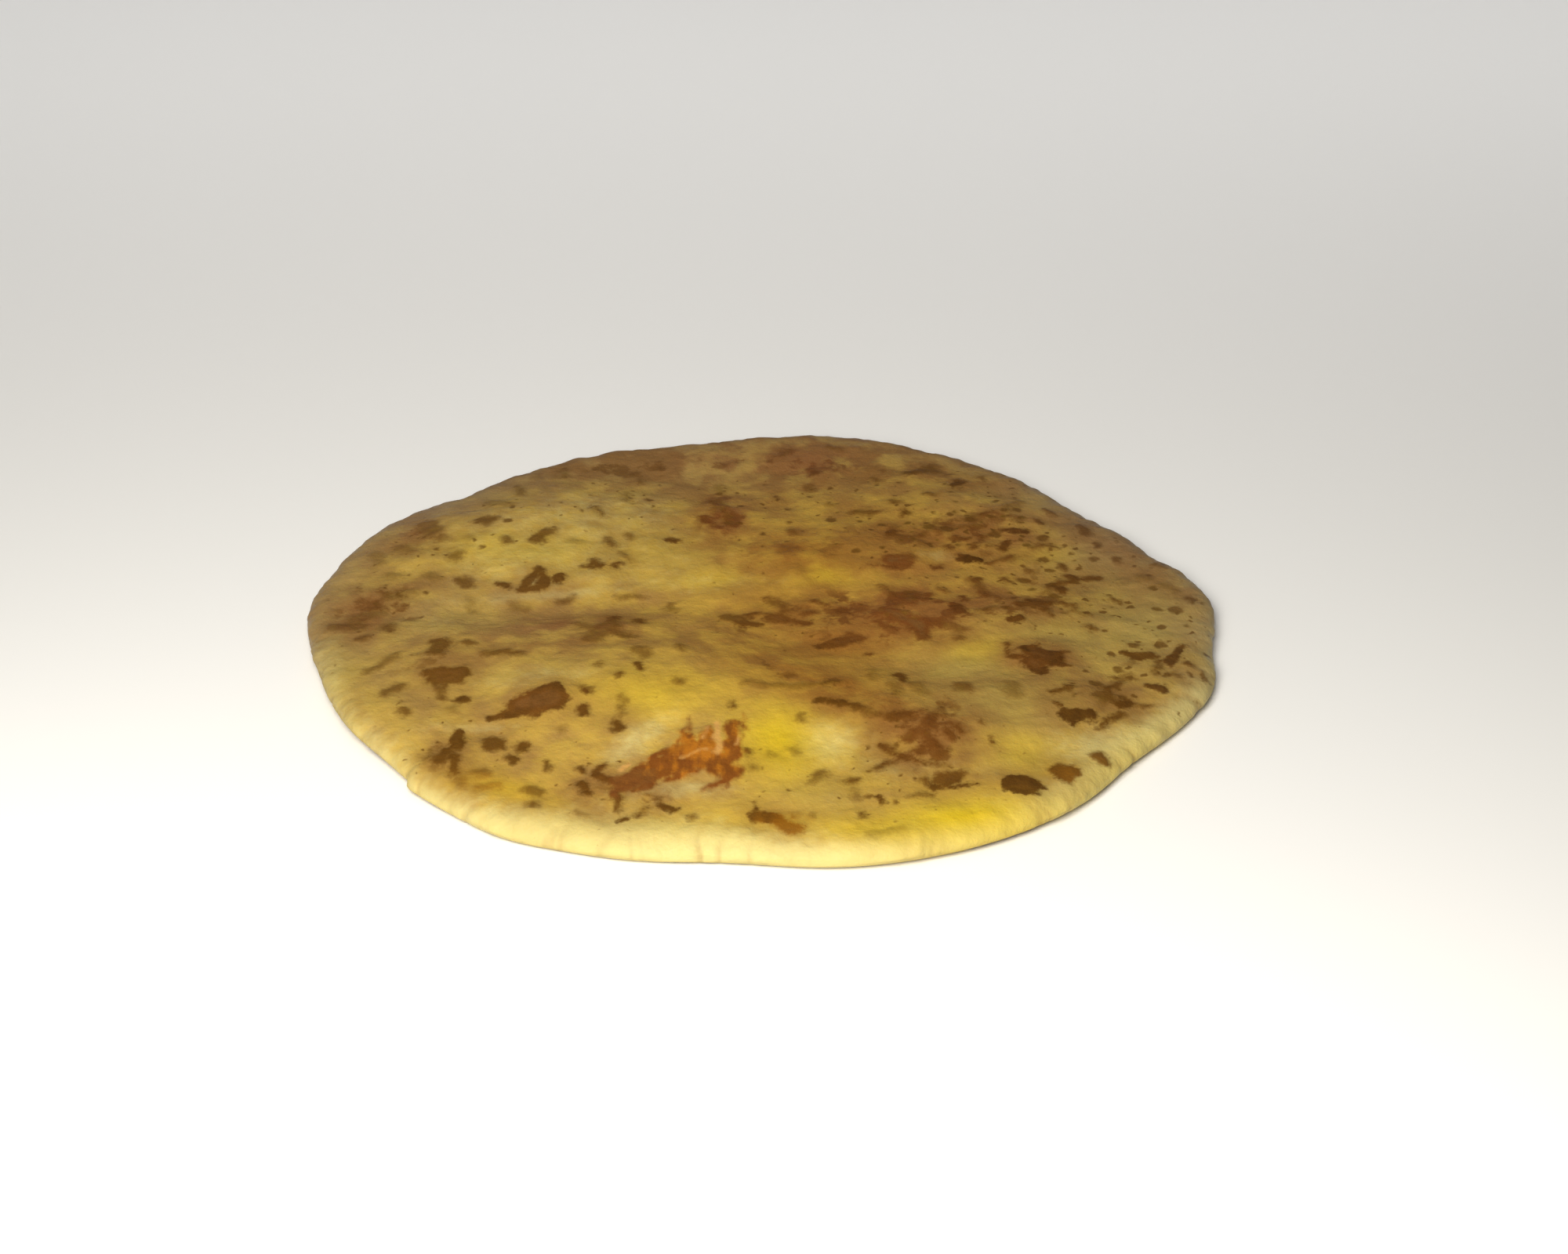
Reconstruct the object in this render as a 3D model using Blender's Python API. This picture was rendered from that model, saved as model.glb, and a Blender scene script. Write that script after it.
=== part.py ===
"""A stuffed flatbread, shallow-fried on a griddle: one disc of dough, thin at its rim and puffed in places.

The bread is one solid. Its outline is a circle with named corners and flats, its top is a level sheet of
dough with named puffs, hollows and blisters, and its rim is a soft roll that thins towards the edge.
"""

import math

import bmesh
import bpy
import numpy as np

# Outline, in metres and degrees. An angle is counted from +X, to the right, towards +Y, the back.
RIM_RADIUS = 0.0873
RIM_SHAPE = (  # angle, how far the rim stands out there, half width in degrees
    (6, 0.0026, 9),
    (21, -0.0016, 6),
    (35, -0.0040, 12),
    (77, 0.0036, 15),
    (103, -0.0016, 10),
    (138, -0.0012, 7),
    (155, 0.0046, 16),
    (176, 0.0032, 11),
    (217, -0.0012, 8),
    (239, 0.0014, 7),
    (266, -0.0026, 10),
    (295, 0.0012, 16),
    (323, -0.0022, 9),
    (345, 0.0021, 8),
)
# The dough was pinched shut at one place, and a lip of it laps out past the rim there.
LAP_ANGLE = 222.5
LAP_STEP = 0.0015
LAP_RISE_DEG = 0.3
LAP_FADE_DEG = 12.0

# Thickness, in metres.
MIDDLE_THICKNESS = 0.0056
RIM_THICKNESS = 0.0042
THINNING_REACH = 0.013
TOP_ROUNDING = 0.0050
UNDER_ROUNDING = 0.0026
BULGE_SHARE = 0.42
RELIEF_FADE = 0.020

# Puffs and hollows: x, y, half length, half depth, turn of the long axis in degrees, height.
PUFFS = (
    (-0.018, -0.029, 0.036, 0.020, -14, 0.0034),
    (0.019, -0.040, 0.018, 0.012, -24, 0.0016),
    (-0.050, 0.040, 0.030, 0.019, 6, 0.0026),
    (0.014, 0.026, 0.020, 0.013, 10, 0.0018),
    (0.043, -0.005, 0.019, 0.012, 20, 0.0018),
    (0.048, -0.037, 0.022, 0.014, 24, 0.0016),
    (0.047, 0.044, 0.026, 0.014, -30, 0.0015),
    (-0.062, -0.012, 0.016, 0.012, -30, 0.0010),
    (-0.040, 0.003, 0.040, 0.009, 6, -0.0016),
    (-0.012, 0.062, 0.034, 0.014, 0, -0.0011),
    (0.012, -0.014, 0.020, 0.008, -20, -0.0011),
    (0.070, 0.020, 0.014, 0.016, 0, -0.0008),
)
# Blisters where the dough met the hot iron: x, y, radius, height.
BLISTERS = (
    (-0.042, -0.036, 0.0072, 0.0009),
    (-0.010, -0.052, 0.0095, 0.0009),
    (-0.023, -0.064, 0.0070, 0.0006),
    (0.030, -0.050, 0.0085, 0.0006),
    (0.028, 0.001, 0.0080, 0.0007),
    (0.015, -0.010, 0.0070, 0.0006),
    (0.053, -0.018, 0.0070, 0.0007),
    (0.060, -0.038, 0.0066, 0.0007),
    (0.076, -0.020, 0.0060, 0.0005),
    (-0.061, -0.024, 0.0068, 0.0006),
    (-0.046, 0.017, 0.0066, 0.0007),
    (-0.030, -0.004, 0.0072, 0.0005),
    (-0.009, 0.045, 0.0072, 0.0006),
    (0.046, -0.066, 0.0060, 0.0006),
    (0.029, 0.024, 0.0062, 0.0006),
    (0.043, 0.026, 0.0058, 0.0006),
)
# Where the rim stands clear of what it lies on: angle, height of the lift, half width in degrees.
RIM_LIFTS = (
    (18, 0.0009, 24),
    (110, 0.0007, 26),
    (205, 0.0011, 17),
    (300, 0.0005, 22),
)
LIFT_REACH = 0.022

# Mesh: how many points go round, and how many rings lie on the top, on the roll of the rim and underneath.
AROUND = 112
TOP_RINGS = 32
ROLL_RINGS_ABOVE = 6
ROLL_RINGS_BELOW = 4
UNDER_RINGS = 5

CRUST_COLOUR = (0.45, 0.27, 0.085, 1.0)
CRUST_ROUGHNESS = 0.45


def bell(distance, half_width):
    """A smooth hump: 1 at no distance, 1/e at half_width."""
    return np.exp(-((distance / half_width) ** 2))


def turn_between(angle, other):
    """Degrees from other to angle, by the shorter way round."""
    return (angle - other + 180.0) % 360.0 - 180.0


def smooth_share(value):
    """0 up to 0, 1 from 1 on, with a smooth S between."""
    share = np.clip(value, 0.0, 1.0)
    return share * share * (3.0 - 2.0 * share)


def rim_radius(angle):
    """The outline: a circle with its corners and flats, and the lip that laps out past the rim."""
    radius = RIM_RADIUS + 0.0 * angle
    for centre, height, half_width in RIM_SHAPE:
        radius = radius + height * bell(turn_between(angle, centre), half_width)
    past = turn_between(angle, LAP_ANGLE)
    step = 0.5 * (1.0 + np.tanh(past / (2.0 * LAP_RISE_DEG)))
    return radius + LAP_STEP * step * np.exp(-np.maximum(past, 0.0) / LAP_FADE_DEG)


def rim_lift(angle):
    """How high the rim stands above the level that the bread rests on."""
    lift = 0.0 * angle
    for centre, height, half_width in RIM_LIFTS:
        lift = lift + height * bell(turn_between(angle, centre), half_width)
    return lift


def relief(x, y):
    """Height that the puffs, hollows and blisters add to the top at a place."""
    height = 0.0 * x
    for px, py, half_length, half_depth, turn, rise in PUFFS:
        c, s = math.cos(math.radians(turn)), math.sin(math.radians(turn))
        along = (x - px) * c + (y - py) * s
        across = (y - py) * c - (x - px) * s
        height = height + rise * bell(np.hypot(along / half_length, across / half_depth), 1.0)
    for px, py, radius, rise in BLISTERS:
        height = height + rise * bell(np.hypot(x - px, y - py), radius)
    return height


def top_height(x, y, from_rim):
    """Height of the top before the rim rolls over: dough that thins towards the rim, with its relief."""
    thickness = MIDDLE_THICKNESS - (MIDDLE_THICKNESS - RIM_THICKNESS) * np.exp(-from_rim / THINNING_REACH)
    return thickness + relief(x, y) * smooth_share(from_rim / RELIEF_FADE)


def ring(angle, from_rim, where, roll):
    """One ring of points, as rows of x, y, z.

    from_rim is the plan distance in from the outline. where is "above" or "below" the bulge of the rim, and
    roll is the share of the roll's height there: 1 on the flat of the bread, 0 at its widest line.
    """
    radius = rim_radius(angle) - from_rim
    x = radius * np.cos(np.radians(angle))
    y = radius * np.sin(np.radians(angle))
    top = top_height(x, y, from_rim)
    bulge = BULGE_SHARE * top_height(x, y, 0.0)
    lift = rim_lift(angle) * smooth_share(1.0 - from_rim / LIFT_REACH)
    if where == "above":
        height = bulge + (top - bulge) * roll
    else:
        height = bulge * (1.0 - roll)
    return np.column_stack((x, y, height + lift))


def quarter_turns(rings):
    """Angles of the roll's rings, from just past its flat end to its widest line, in radians."""
    return [0.5 * math.pi * (k + 1) / rings for k in range(rings)]


def profile():
    """The rings from the middle of the top, over the rim and back under, as (inset, side, roll).

    An inset is plan distance from the rim. A ring on the flat of the top or the underside is given instead
    by a share of the way to the rim, since its distance differs round the bread; it is negative here.
    """
    rings = []
    for k in range(1, TOP_RINGS + 1):
        rings.append((-k / TOP_RINGS, "above", 1.0))
    for turn in quarter_turns(ROLL_RINGS_ABOVE):
        rings.append((TOP_ROUNDING * (1.0 - math.sin(turn)), "above", math.cos(turn)))
    for turn in reversed(quarter_turns(ROLL_RINGS_BELOW)[:-1]):
        rings.append((UNDER_ROUNDING * (1.0 - math.sin(turn)), "below", math.cos(turn)))
    for k in range(UNDER_RINGS, 0, -1):
        rings.append((-k / UNDER_RINGS, "below", 1.0))
    return rings


def bread_rings():
    """All rings of the bread, centred on the box of the outline."""
    angle = np.arange(AROUND) * 360.0 / AROUND
    outline = ring(angle, 0.0 * angle, "above", 0.0)
    centre = (outline.max(axis=0) + outline.min(axis=0)) / 2
    shift = np.array((centre[0], centre[1], 0.0))
    made = []
    for inset, side, roll in profile():
        flat_edge = TOP_ROUNDING if side == "above" else UNDER_ROUNDING
        if inset < 0:
            from_rim = rim_radius(angle) - (rim_radius(angle) - flat_edge) * -inset
        else:
            from_rim = inset + 0.0 * angle
        made.append(ring(angle, from_rim, side, roll) - shift)
    middle = top_height(np.zeros(1), np.zeros(1), np.array([RIM_RADIUS]))[0]
    return made, np.array((0.0, 0.0, middle)) - shift, -shift


def bridge(mesh, inner, outer):
    """Faces between two rings of vertices that follow each other along the profile."""
    for k in range(AROUND):
        after = (k + 1) % AROUND
        mesh.faces.new((inner[k], outer[k], outer[after], inner[after]))


def cap(mesh, middle, around, outwards):
    """A fan from a middle vertex to a ring; outwards says whether it looks along the ring's turn."""
    for k in range(AROUND):
        after = (k + 1) % AROUND
        ends = (around[k], around[after]) if outwards else (around[after], around[k])
        mesh.faces.new((middle, *ends))


def crust_material():
    material = bpy.data.materials.new("crust")
    material.use_nodes = True
    shader = material.node_tree.nodes["Principled BSDF"]
    shader.inputs["Base Color"].default_value = CRUST_COLOUR
    shader.inputs["Roughness"].default_value = CRUST_ROUGHNESS
    shader.inputs["Metallic"].default_value = 0.0
    return material


def make_bread():
    rings, top_middle, under_middle = bread_rings()
    mesh = bmesh.new()
    loops = [[mesh.verts.new(point) for point in ring_points] for ring_points in rings]
    for inner, outer in zip(loops, loops[1:]):
        bridge(mesh, inner, outer)
    cap(mesh, mesh.verts.new(top_middle), loops[0], True)
    cap(mesh, mesh.verts.new(under_middle), loops[-1], False)
    data = bpy.data.meshes.new("paratha")
    mesh.to_mesh(data)
    mesh.free()
    data.shade_smooth()
    bread = bpy.data.objects.new("paratha", data)
    bread.data.materials.append(crust_material())
    bpy.context.scene.collection.objects.link(bread)
    return bread


for old in list(bpy.data.objects):
    bpy.data.objects.remove(old)
make_bread()
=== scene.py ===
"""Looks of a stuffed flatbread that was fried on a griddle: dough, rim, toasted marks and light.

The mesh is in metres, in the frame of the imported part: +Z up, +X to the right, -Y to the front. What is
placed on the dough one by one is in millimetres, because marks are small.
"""

import math

import bpy
import numpy as np
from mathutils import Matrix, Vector


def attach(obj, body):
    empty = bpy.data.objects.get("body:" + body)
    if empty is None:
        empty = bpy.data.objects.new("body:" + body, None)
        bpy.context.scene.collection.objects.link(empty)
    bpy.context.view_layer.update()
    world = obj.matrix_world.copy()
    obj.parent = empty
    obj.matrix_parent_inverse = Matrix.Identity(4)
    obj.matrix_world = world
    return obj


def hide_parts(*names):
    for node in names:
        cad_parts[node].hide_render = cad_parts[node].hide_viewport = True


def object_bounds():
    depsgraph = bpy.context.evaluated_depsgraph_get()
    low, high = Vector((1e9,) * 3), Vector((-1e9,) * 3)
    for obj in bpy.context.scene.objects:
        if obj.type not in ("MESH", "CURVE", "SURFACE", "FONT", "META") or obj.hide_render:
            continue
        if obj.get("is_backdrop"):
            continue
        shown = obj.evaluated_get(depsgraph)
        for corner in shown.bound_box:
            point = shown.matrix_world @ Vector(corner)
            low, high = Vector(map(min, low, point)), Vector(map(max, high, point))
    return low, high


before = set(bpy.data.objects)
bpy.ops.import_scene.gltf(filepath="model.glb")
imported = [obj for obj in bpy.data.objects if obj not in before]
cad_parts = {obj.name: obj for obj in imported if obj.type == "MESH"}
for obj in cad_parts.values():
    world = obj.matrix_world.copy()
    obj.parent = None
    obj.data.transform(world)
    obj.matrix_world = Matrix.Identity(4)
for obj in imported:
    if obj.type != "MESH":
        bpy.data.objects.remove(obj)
cad_low, cad_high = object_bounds()


# The view. The bread is seen from its front, as by somebody who sits at a table, with a short
# telephoto lens, so that it looks like an ellipse about twice as wide as it is deep.
VIEW_RISE = math.radians(28.0)
VIEW_DISTANCE = 0.597
VIEW_AIM = np.array((0.0046, -0.0064, 0.0049))
LENS_MM = 70.0


def place_camera():
    """The camera stands back from its aim along the line of sight, which slopes down by the view's rise."""
    back = np.array((0.0, -math.cos(VIEW_RISE), math.sin(VIEW_RISE)))
    camera = bpy.data.objects.new("camera", bpy.data.cameras.new("camera"))
    camera.data.lens = LENS_MM
    camera.data.sensor_width = 36.0
    camera.data.clip_start = 0.01
    camera.location = VIEW_AIM + back * VIEW_DISTANCE
    camera.rotation_euler = (math.pi / 2 - VIEW_RISE, 0.0, 0.0)
    bpy.context.scene.collection.objects.link(camera)
    bpy.context.scene.camera = camera


place_camera()


# The table top and the light. The bread lies on a plain pale top. A soft lamp stands low in front of it, a
# little to the left, so that its front rim is the brightest part. A weak wide one hangs above, and a long
# narrow one keeps the table top behind the bread pale.
TABLE_SIDE = 6.0
TABLE_COLOUR = (0.90, 0.89, 0.87, 1.0)
ROOM_COLOUR = (1.0, 0.985, 0.96, 1.0)
ROOM_STRENGTH = 0.13
LAMPS = (  # name, place, what it looks at, width, depth, watts, spread in degrees, colour
    ("front_lamp", (-0.09, -0.38, 0.30), (0.0, 0.0, 0.0), 0.26, 0.26, 3.5, 180, (1.0, 0.965, 0.89)),
    ("top_lamp", (0.0, -0.05, 0.95), (0.0, 0.0, 0.0), 0.70, 0.70, 0.6, 180, (0.98, 0.99, 1.0)),
    ("back_lamp", (0.05, 0.40, 0.62), (0.05, 0.46, 0.0), 1.40, 0.30, 1.2, 86, (1.0, 1.0, 1.0)),
)


def make_table():
    half = TABLE_SIDE / 2
    data = bpy.data.meshes.new("table_top")
    corners = [(-half, -half, 0.0), (half, -half, 0.0), (half, half, 0.0), (-half, half, 0.0)]
    data.from_pydata(corners, [], [(0, 1, 2, 3)])
    material = bpy.data.materials.new("table_top")
    material.use_nodes = True
    shader = material.node_tree.nodes["Principled BSDF"]
    shader.inputs["Base Color"].default_value = TABLE_COLOUR
    shader.inputs["Roughness"].default_value = 0.6
    data.materials.append(material)
    table = bpy.data.objects.new("table_top", data)
    bpy.context.scene.collection.objects.link(table)
    table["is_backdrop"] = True


def light_room():
    """Each lamp is a flat panel, turned so that it looks at its target."""
    world = bpy.data.worlds.new("room")
    world.use_nodes = True
    sky = world.node_tree.nodes["Background"]
    sky.inputs["Color"].default_value = ROOM_COLOUR
    sky.inputs["Strength"].default_value = ROOM_STRENGTH
    bpy.context.scene.world = world
    bpy.context.scene.view_settings.view_transform = "Standard"
    for name, place, target, width, depth, watts, spread, colour in LAMPS:
        lamp = bpy.data.objects.new(name, bpy.data.lights.new(name, "AREA"))
        lamp.data.shape = "RECTANGLE"
        lamp.data.size = width
        lamp.data.size_y = depth
        lamp.data.energy = watts
        lamp.data.spread = math.radians(spread)
        lamp.data.color = colour
        lamp.location = place
        lamp.rotation_euler = (Vector(target) - lamp.location).to_track_quat("-Z", "Y").to_euler()
        lamp.visible_camera = False
        bpy.context.scene.collection.objects.link(lamp)


make_table()
light_room()


# The dough. The bread is one disc of wheat dough round a spiced stuffing, rolled out by hand. It is thin
# at its rim and puffed in places where steam lifted it, and it was pinched shut at one place of the rim.
RIM_RADIUS = 0.0873
RIM_SHAPE = (  # angle from +X towards +Y, how far the rim stands out there, half width in degrees
    (6, 0.0026, 9), (21, -0.0016, 6), (35, -0.0040, 12), (77, 0.0036, 15), (103, -0.0016, 10),
    (138, -0.0012, 7), (155, 0.0046, 16), (176, 0.0032, 11), (217, -0.0012, 8), (239, 0.0014, 7),
    (266, -0.0026, 10), (295, 0.0012, 16), (323, -0.0022, 9), (345, 0.0021, 8),
)
LAP_ANGLE = 222.5
LAP_STEP = 0.0015
LAP_RISE_DEG = 0.3
LAP_FADE_DEG = 12.0
MIDDLE_THICKNESS = 0.0056
RIM_THICKNESS = 0.0042
THINNING_REACH = 0.013
TOP_ROUNDING = 0.0050
UNDER_ROUNDING = 0.0026
BULGE_SHARE = 0.42
RELIEF_FADE = 0.020
PUFFS = (  # x, y, half length, half depth, turn in degrees, height
    (-0.018, -0.029, 0.036, 0.020, -14, 0.0034),
    (0.019, -0.040, 0.018, 0.012, -24, 0.0016),
    (-0.050, 0.040, 0.030, 0.019, 6, 0.0026),
    (0.014, 0.026, 0.020, 0.013, 10, 0.0018),
    (0.043, -0.005, 0.019, 0.012, 20, 0.0018),
    (0.048, -0.037, 0.022, 0.014, 24, 0.0016),
    (0.047, 0.044, 0.026, 0.014, -30, 0.0015),
    (-0.062, -0.012, 0.016, 0.012, -30, 0.0010),
    (-0.040, 0.003, 0.040, 0.009, 6, -0.0016),
    (-0.012, 0.062, 0.034, 0.014, 0, -0.0011),
    (0.012, -0.014, 0.020, 0.008, -20, -0.0011),
    (0.070, 0.020, 0.014, 0.016, 0, -0.0008),
)
BLISTERS = (  # x, y, radius, height
    (-0.042, -0.036, 0.0072, 0.0009),
    (-0.010, -0.052, 0.0095, 0.0009),
    (-0.023, -0.064, 0.0070, 0.0006),
    (0.030, -0.050, 0.0085, 0.0006),
    (0.028, 0.001, 0.0080, 0.0007),
    (0.015, -0.010, 0.0070, 0.0006),
    (0.053, -0.018, 0.0070, 0.0007),
    (0.060, -0.038, 0.0066, 0.0007),
    (0.076, -0.020, 0.0060, 0.0005),
    (-0.061, -0.024, 0.0068, 0.0006),
    (-0.046, 0.017, 0.0066, 0.0007),
    (-0.030, -0.004, 0.0072, 0.0005),
    (-0.009, 0.045, 0.0072, 0.0006),
    (0.046, -0.066, 0.0060, 0.0006),
    (0.029, 0.024, 0.0062, 0.0006),
    (0.043, 0.026, 0.0058, 0.0006),
)
RIM_LIFTS = ((18, 0.0009, 24), (110, 0.0007, 26), (205, 0.0011, 17), (300, 0.0005, 22))
LIFT_REACH = 0.022

GRID_STEPS = 128  # from the middle of the top to where the rim starts to roll over
ROLL_RINGS_ABOVE = 10
ROLL_RINGS_BELOW = 7
UNDER_RINGS = 15


def bell(distance, half_width):
    """A smooth hump: e to the power of minus the square of distance over half_width."""
    return np.exp(-((distance / half_width) ** 2))


def oval_bell(x, y, px, py, half_length, half_depth, turn):
    """A bell round px, py with its long axis turned: distance along and across it over its half sizes."""
    c, s = math.cos(math.radians(turn)), math.sin(math.radians(turn))
    along = ((x - px) * c + (y - py) * s) / half_length
    across = ((y - py) * c - (x - px) * s) / half_depth
    return bell(np.hypot(along, across), 1.0)


def turn_between(angle, other):
    """Degrees from other to angle, by the shorter way round."""
    return (angle - other + 180.0) % 360.0 - 180.0


def smooth_share(value):
    """0 up to 0, 1 from 1 on, and three times the square less twice the cube between."""
    share = np.clip(value, 0.0, 1.0)
    return share * share * (3.0 - 2.0 * share)


def rim_radius(angle):
    """The outline: a circle plus a bell for each corner or flat, and the lip that laps out past the rim."""
    radius = RIM_RADIUS + 0.0 * angle
    for centre, height, half_width in RIM_SHAPE:
        radius = radius + height * bell(turn_between(angle, centre), half_width)
    past = turn_between(angle, LAP_ANGLE)
    step = 0.5 * (1.0 + np.tanh(past / (2.0 * LAP_RISE_DEG)))
    return radius + LAP_STEP * step * np.exp(-np.maximum(past, 0.0) / LAP_FADE_DEG)


def relief(x, y):
    """Height of the puffs, hollows and blisters: the sum of a bell for each."""
    height = np.zeros_like(x)
    for *oval, rise in PUFFS:
        height += rise * oval_bell(x, y, *oval)
    for px, py, radius, rise in BLISTERS:
        height += rise * bell(np.hypot(x - px, y - py), radius)
    return height


def top_height(x, y, from_rim):
    """Dough that thins towards the rim by an exponential, with its relief."""
    thinning = (MIDDLE_THICKNESS - RIM_THICKNESS) * np.exp(-from_rim / THINNING_REACH)
    return MIDDLE_THICKNESS - thinning + relief(x, y) * smooth_share(from_rim / RELIEF_FADE)


def square_pressed_round():
    """Directions and shares of the way to the edge for a square grid pressed into a disc.

    The point that is i and j steps from the middle lies on ring max(|i|, |j|), and its angle is 45 degrees
    times the smaller of the two over the larger, counted from the axis of the larger.
    """
    steps = np.arange(-GRID_STEPS, GRID_STEPS + 1.0)
    i, j = np.meshgrid(steps, steps, indexing="ij")
    along_x = np.abs(i) >= np.abs(j)
    larger = np.where(along_x, i, j)
    ratio = np.where(along_x, j, i) / np.where(larger == 0, 1.0, larger)
    angle = np.where(along_x, 45.0 * ratio, 90.0 - 45.0 * ratio) + 180.0 * (larger < 0)
    return (angle % 360.0).ravel(), (np.abs(larger) / GRID_STEPS).ravel()


def quarter_turns(rings):
    """Angles of a roll's rings, from just past its flat end to its widest line, in radians."""
    return [0.5 * math.pi * (k + 1) / rings for k in range(rings)]


grid_angle, grid_share = square_pressed_round()
edge = np.flatnonzero(grid_share == 1.0)
edge = edge[np.argsort(grid_angle[edge])]
edge_angle = grid_angle[edge]
edge_radius = rim_radius(edge_angle)

# Four numbers for each point: its angle, its distance in from the rim, how far the roll still is from
# upright there (1 on the flat, 0 at the widest line) and whether the point lies below that line.
rows = []


def add_row(angle, inset, roll, below):
    """Points at these angles; each of the other three is a number for all of them or one for each."""
    rows.append(np.stack(np.broadcast_arrays(angle, inset, roll, below)))


grid_radius = rim_radius(grid_angle)
add_row(grid_angle, grid_radius - (grid_radius - TOP_ROUNDING) * grid_share, 1.0, 0.0)
for bend in quarter_turns(ROLL_RINGS_ABOVE):
    add_row(edge_angle, TOP_ROUNDING * (1.0 - math.sin(bend)), math.cos(bend), 0.0)
for bend in reversed(quarter_turns(ROLL_RINGS_BELOW)[:-1]):
    add_row(edge_angle, UNDER_ROUNDING * (1.0 - math.sin(bend)), math.cos(bend), 1.0)
for k in range(UNDER_RINGS, 0, -1):
    add_row(edge_angle, edge_radius - (edge_radius - UNDER_ROUNDING) * k / UNDER_RINGS, 1.0, 1.0)
add_row(np.zeros(1), rim_radius(np.zeros(1)), 1.0, 1.0)
angle, from_rim, roll, below = np.concatenate(rows, axis=1)

radius = rim_radius(angle) - from_rim
x = radius * np.cos(np.radians(angle))
y = radius * np.sin(np.radians(angle))
bulge = BULGE_SHARE * top_height(x, y, np.zeros_like(x))
above_height = bulge + (top_height(x, y, from_rim) - bulge) * roll
below_height = bulge * (1.0 - roll)
lift = np.zeros_like(x)
for centre, height, half_width in RIM_LIFTS:
    lift += height * bell(turn_between(angle, centre), half_width)
lift *= smooth_share(1.0 - from_rim / LIFT_REACH)
z = np.where(below > 0, below_height, above_height) + lift

# The CAD solid is centred on the box of its outline, so these points are too.
outline_x = edge_radius * np.cos(np.radians(edge_angle))
outline_y = edge_radius * np.sin(np.radians(edge_angle))
x -= (outline_x.max() + outline_x.min()) / 2
y -= (outline_y.max() + outline_y.min()) / 2


# The marks. Where the dough touched the hot iron it toasted: flat brown islands with ragged edges, and
# small olive-brown flecks where only the tops of blisters touched. Butter took some of them to orange.
# Each is drawn with one stroke or several: from x, y to x, y in mm, half width at the two ends, and
# darkness from 0 to 1.
MARKS_BACK_LEFT = (
    (-69.8, 37, -68, 32.4, 2, 1.8, 0.25), (-79, 24, -78, 20.6, 1.4, 1.2, 0.1),
    (-74, 27, -72.4, 25, 1.4, 1.1, 0.15), (-57.6, 35.4, -56.4, 36.4, 1.9, 1.6, 0.35),
    (-62.4, 21.2, -61.8, 22, 1.6, 1.4, 0.3), (-60.2, 28.4, -60, 27.6, 1, 0.8, 0.05),
    (-52.6, 28, -52.2, 27, 1.2, 1.2, 0.35), (-46.2, 27.6, -44.2, 30.4, 1.8, 1.7, 0.4),
    (-43.6, 30.8, -42.8, 31.2, 0.8, 0.6, 0.3), (-59.8, 12.4, -59, 10.8, 1.6, 1.4, 0.35),
    (-52.4, 10.6, -51, 9.9, 1, 1, 0.5), (-44.8, 15.4, -43.4, 12.6, 1, 1.4, 0.52),
    (-43.4, 12.6, -43.8, 9.6, 1.4, 1.4, 0.52), (-43.8, 9.3, -47.6, 8.8, 1.2, 1.2, 0.52),
    (-47.2, 9.8, -45.2, 14.8, 1.1, 1.1, 0.52), (-41, 12, -40.2, 13.4, 1.1, 1, 0.6),
    (-35.4, 17.4, -32.4, 17.6, 0.9, 0.9, 0.5), (-34.2, 18.2, -34.4, 20.6, 1.3, 0.4, 0.45),
    (-29.8, 17.8, -28.8, 19.2, 0.9, 0.8, 0.5), (-28.6, 23.6, -26.2, 20.2, 0.4, 0.5, 0.3),
    (-31.4, 28.8, -30.8, 26.4, 0.9, 0.9, 0.35), (-38.6, 27.4, -37.4, 26.4, 1.1, 0.9, 0),
    (-27.4, 30.8, -27, 29.8, 0.8, 0.8, 0.3), (-19.2, 29.8, -17, 28.8, 0.9, 0.8, 0.6),
    (-35, 42.4, -33.8, 39.4, 0.8, 0.9, 0.35), (-29.2, 53, -28.8, 48, 0.6, 0.7, 0.2),
    (-52.4, 56.4, -51.4, 51.6, 0.9, 1.2, 0.25), (-43.2, 65, -42.8, 62, 1.2, 1.3, 0.2),
    (-57, 46.6, -53.6, 44.4, 1.9, 1.6, 0), (-75.4, 15.4, -73.6, 14.6, 1, 0.9, 0.05),
    (-67, 14.4, -65.6, 13.6, 1.1, 1.1, 0.15), (-74, 6, -69.6, 7.6, 1.4, 1.2, 0.05),
    (-58.2, 5.4, -57, 1, 0.7, 0.9, 0.1), (-39.6, 5, -37.8, 6.4, 0.9, 0.8, 0.3),
    (-49, 2.8, -46.8, 2, 1.2, 1.2, 0.15), (-28, 6.6, -23.8, 6.8, 0.9, 0.9, 0.25),
    (-18, 3.4, -17.6, 1.2, 0.9, 1.1, 0.25), (-12.2, 39.6, -11, 38, 1.3, 1.2, 0.45),
    (-9.4, 49, -8.6, 43, 1.5, 1.9, 0.2), (-7.4, 41.6, -6.6, 37, 1.6, 1.1, 0.2),
    (-10, 37, -8.8, 35.4, 1, 0.8, 0.4), (3.2, 52.4, 3.2, 50.2, 0.4, 0.4, 0.7),
    (-9, 58.6, -8.8, 55, 1, 1.1, 0.1), (-22.4, 69.4, -22, 66.6, 0.6, 0.5, 0.4),
    (-26.4, 61.4, -26, 58.6, 0.6, 0.5, 0.3),
)
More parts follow.
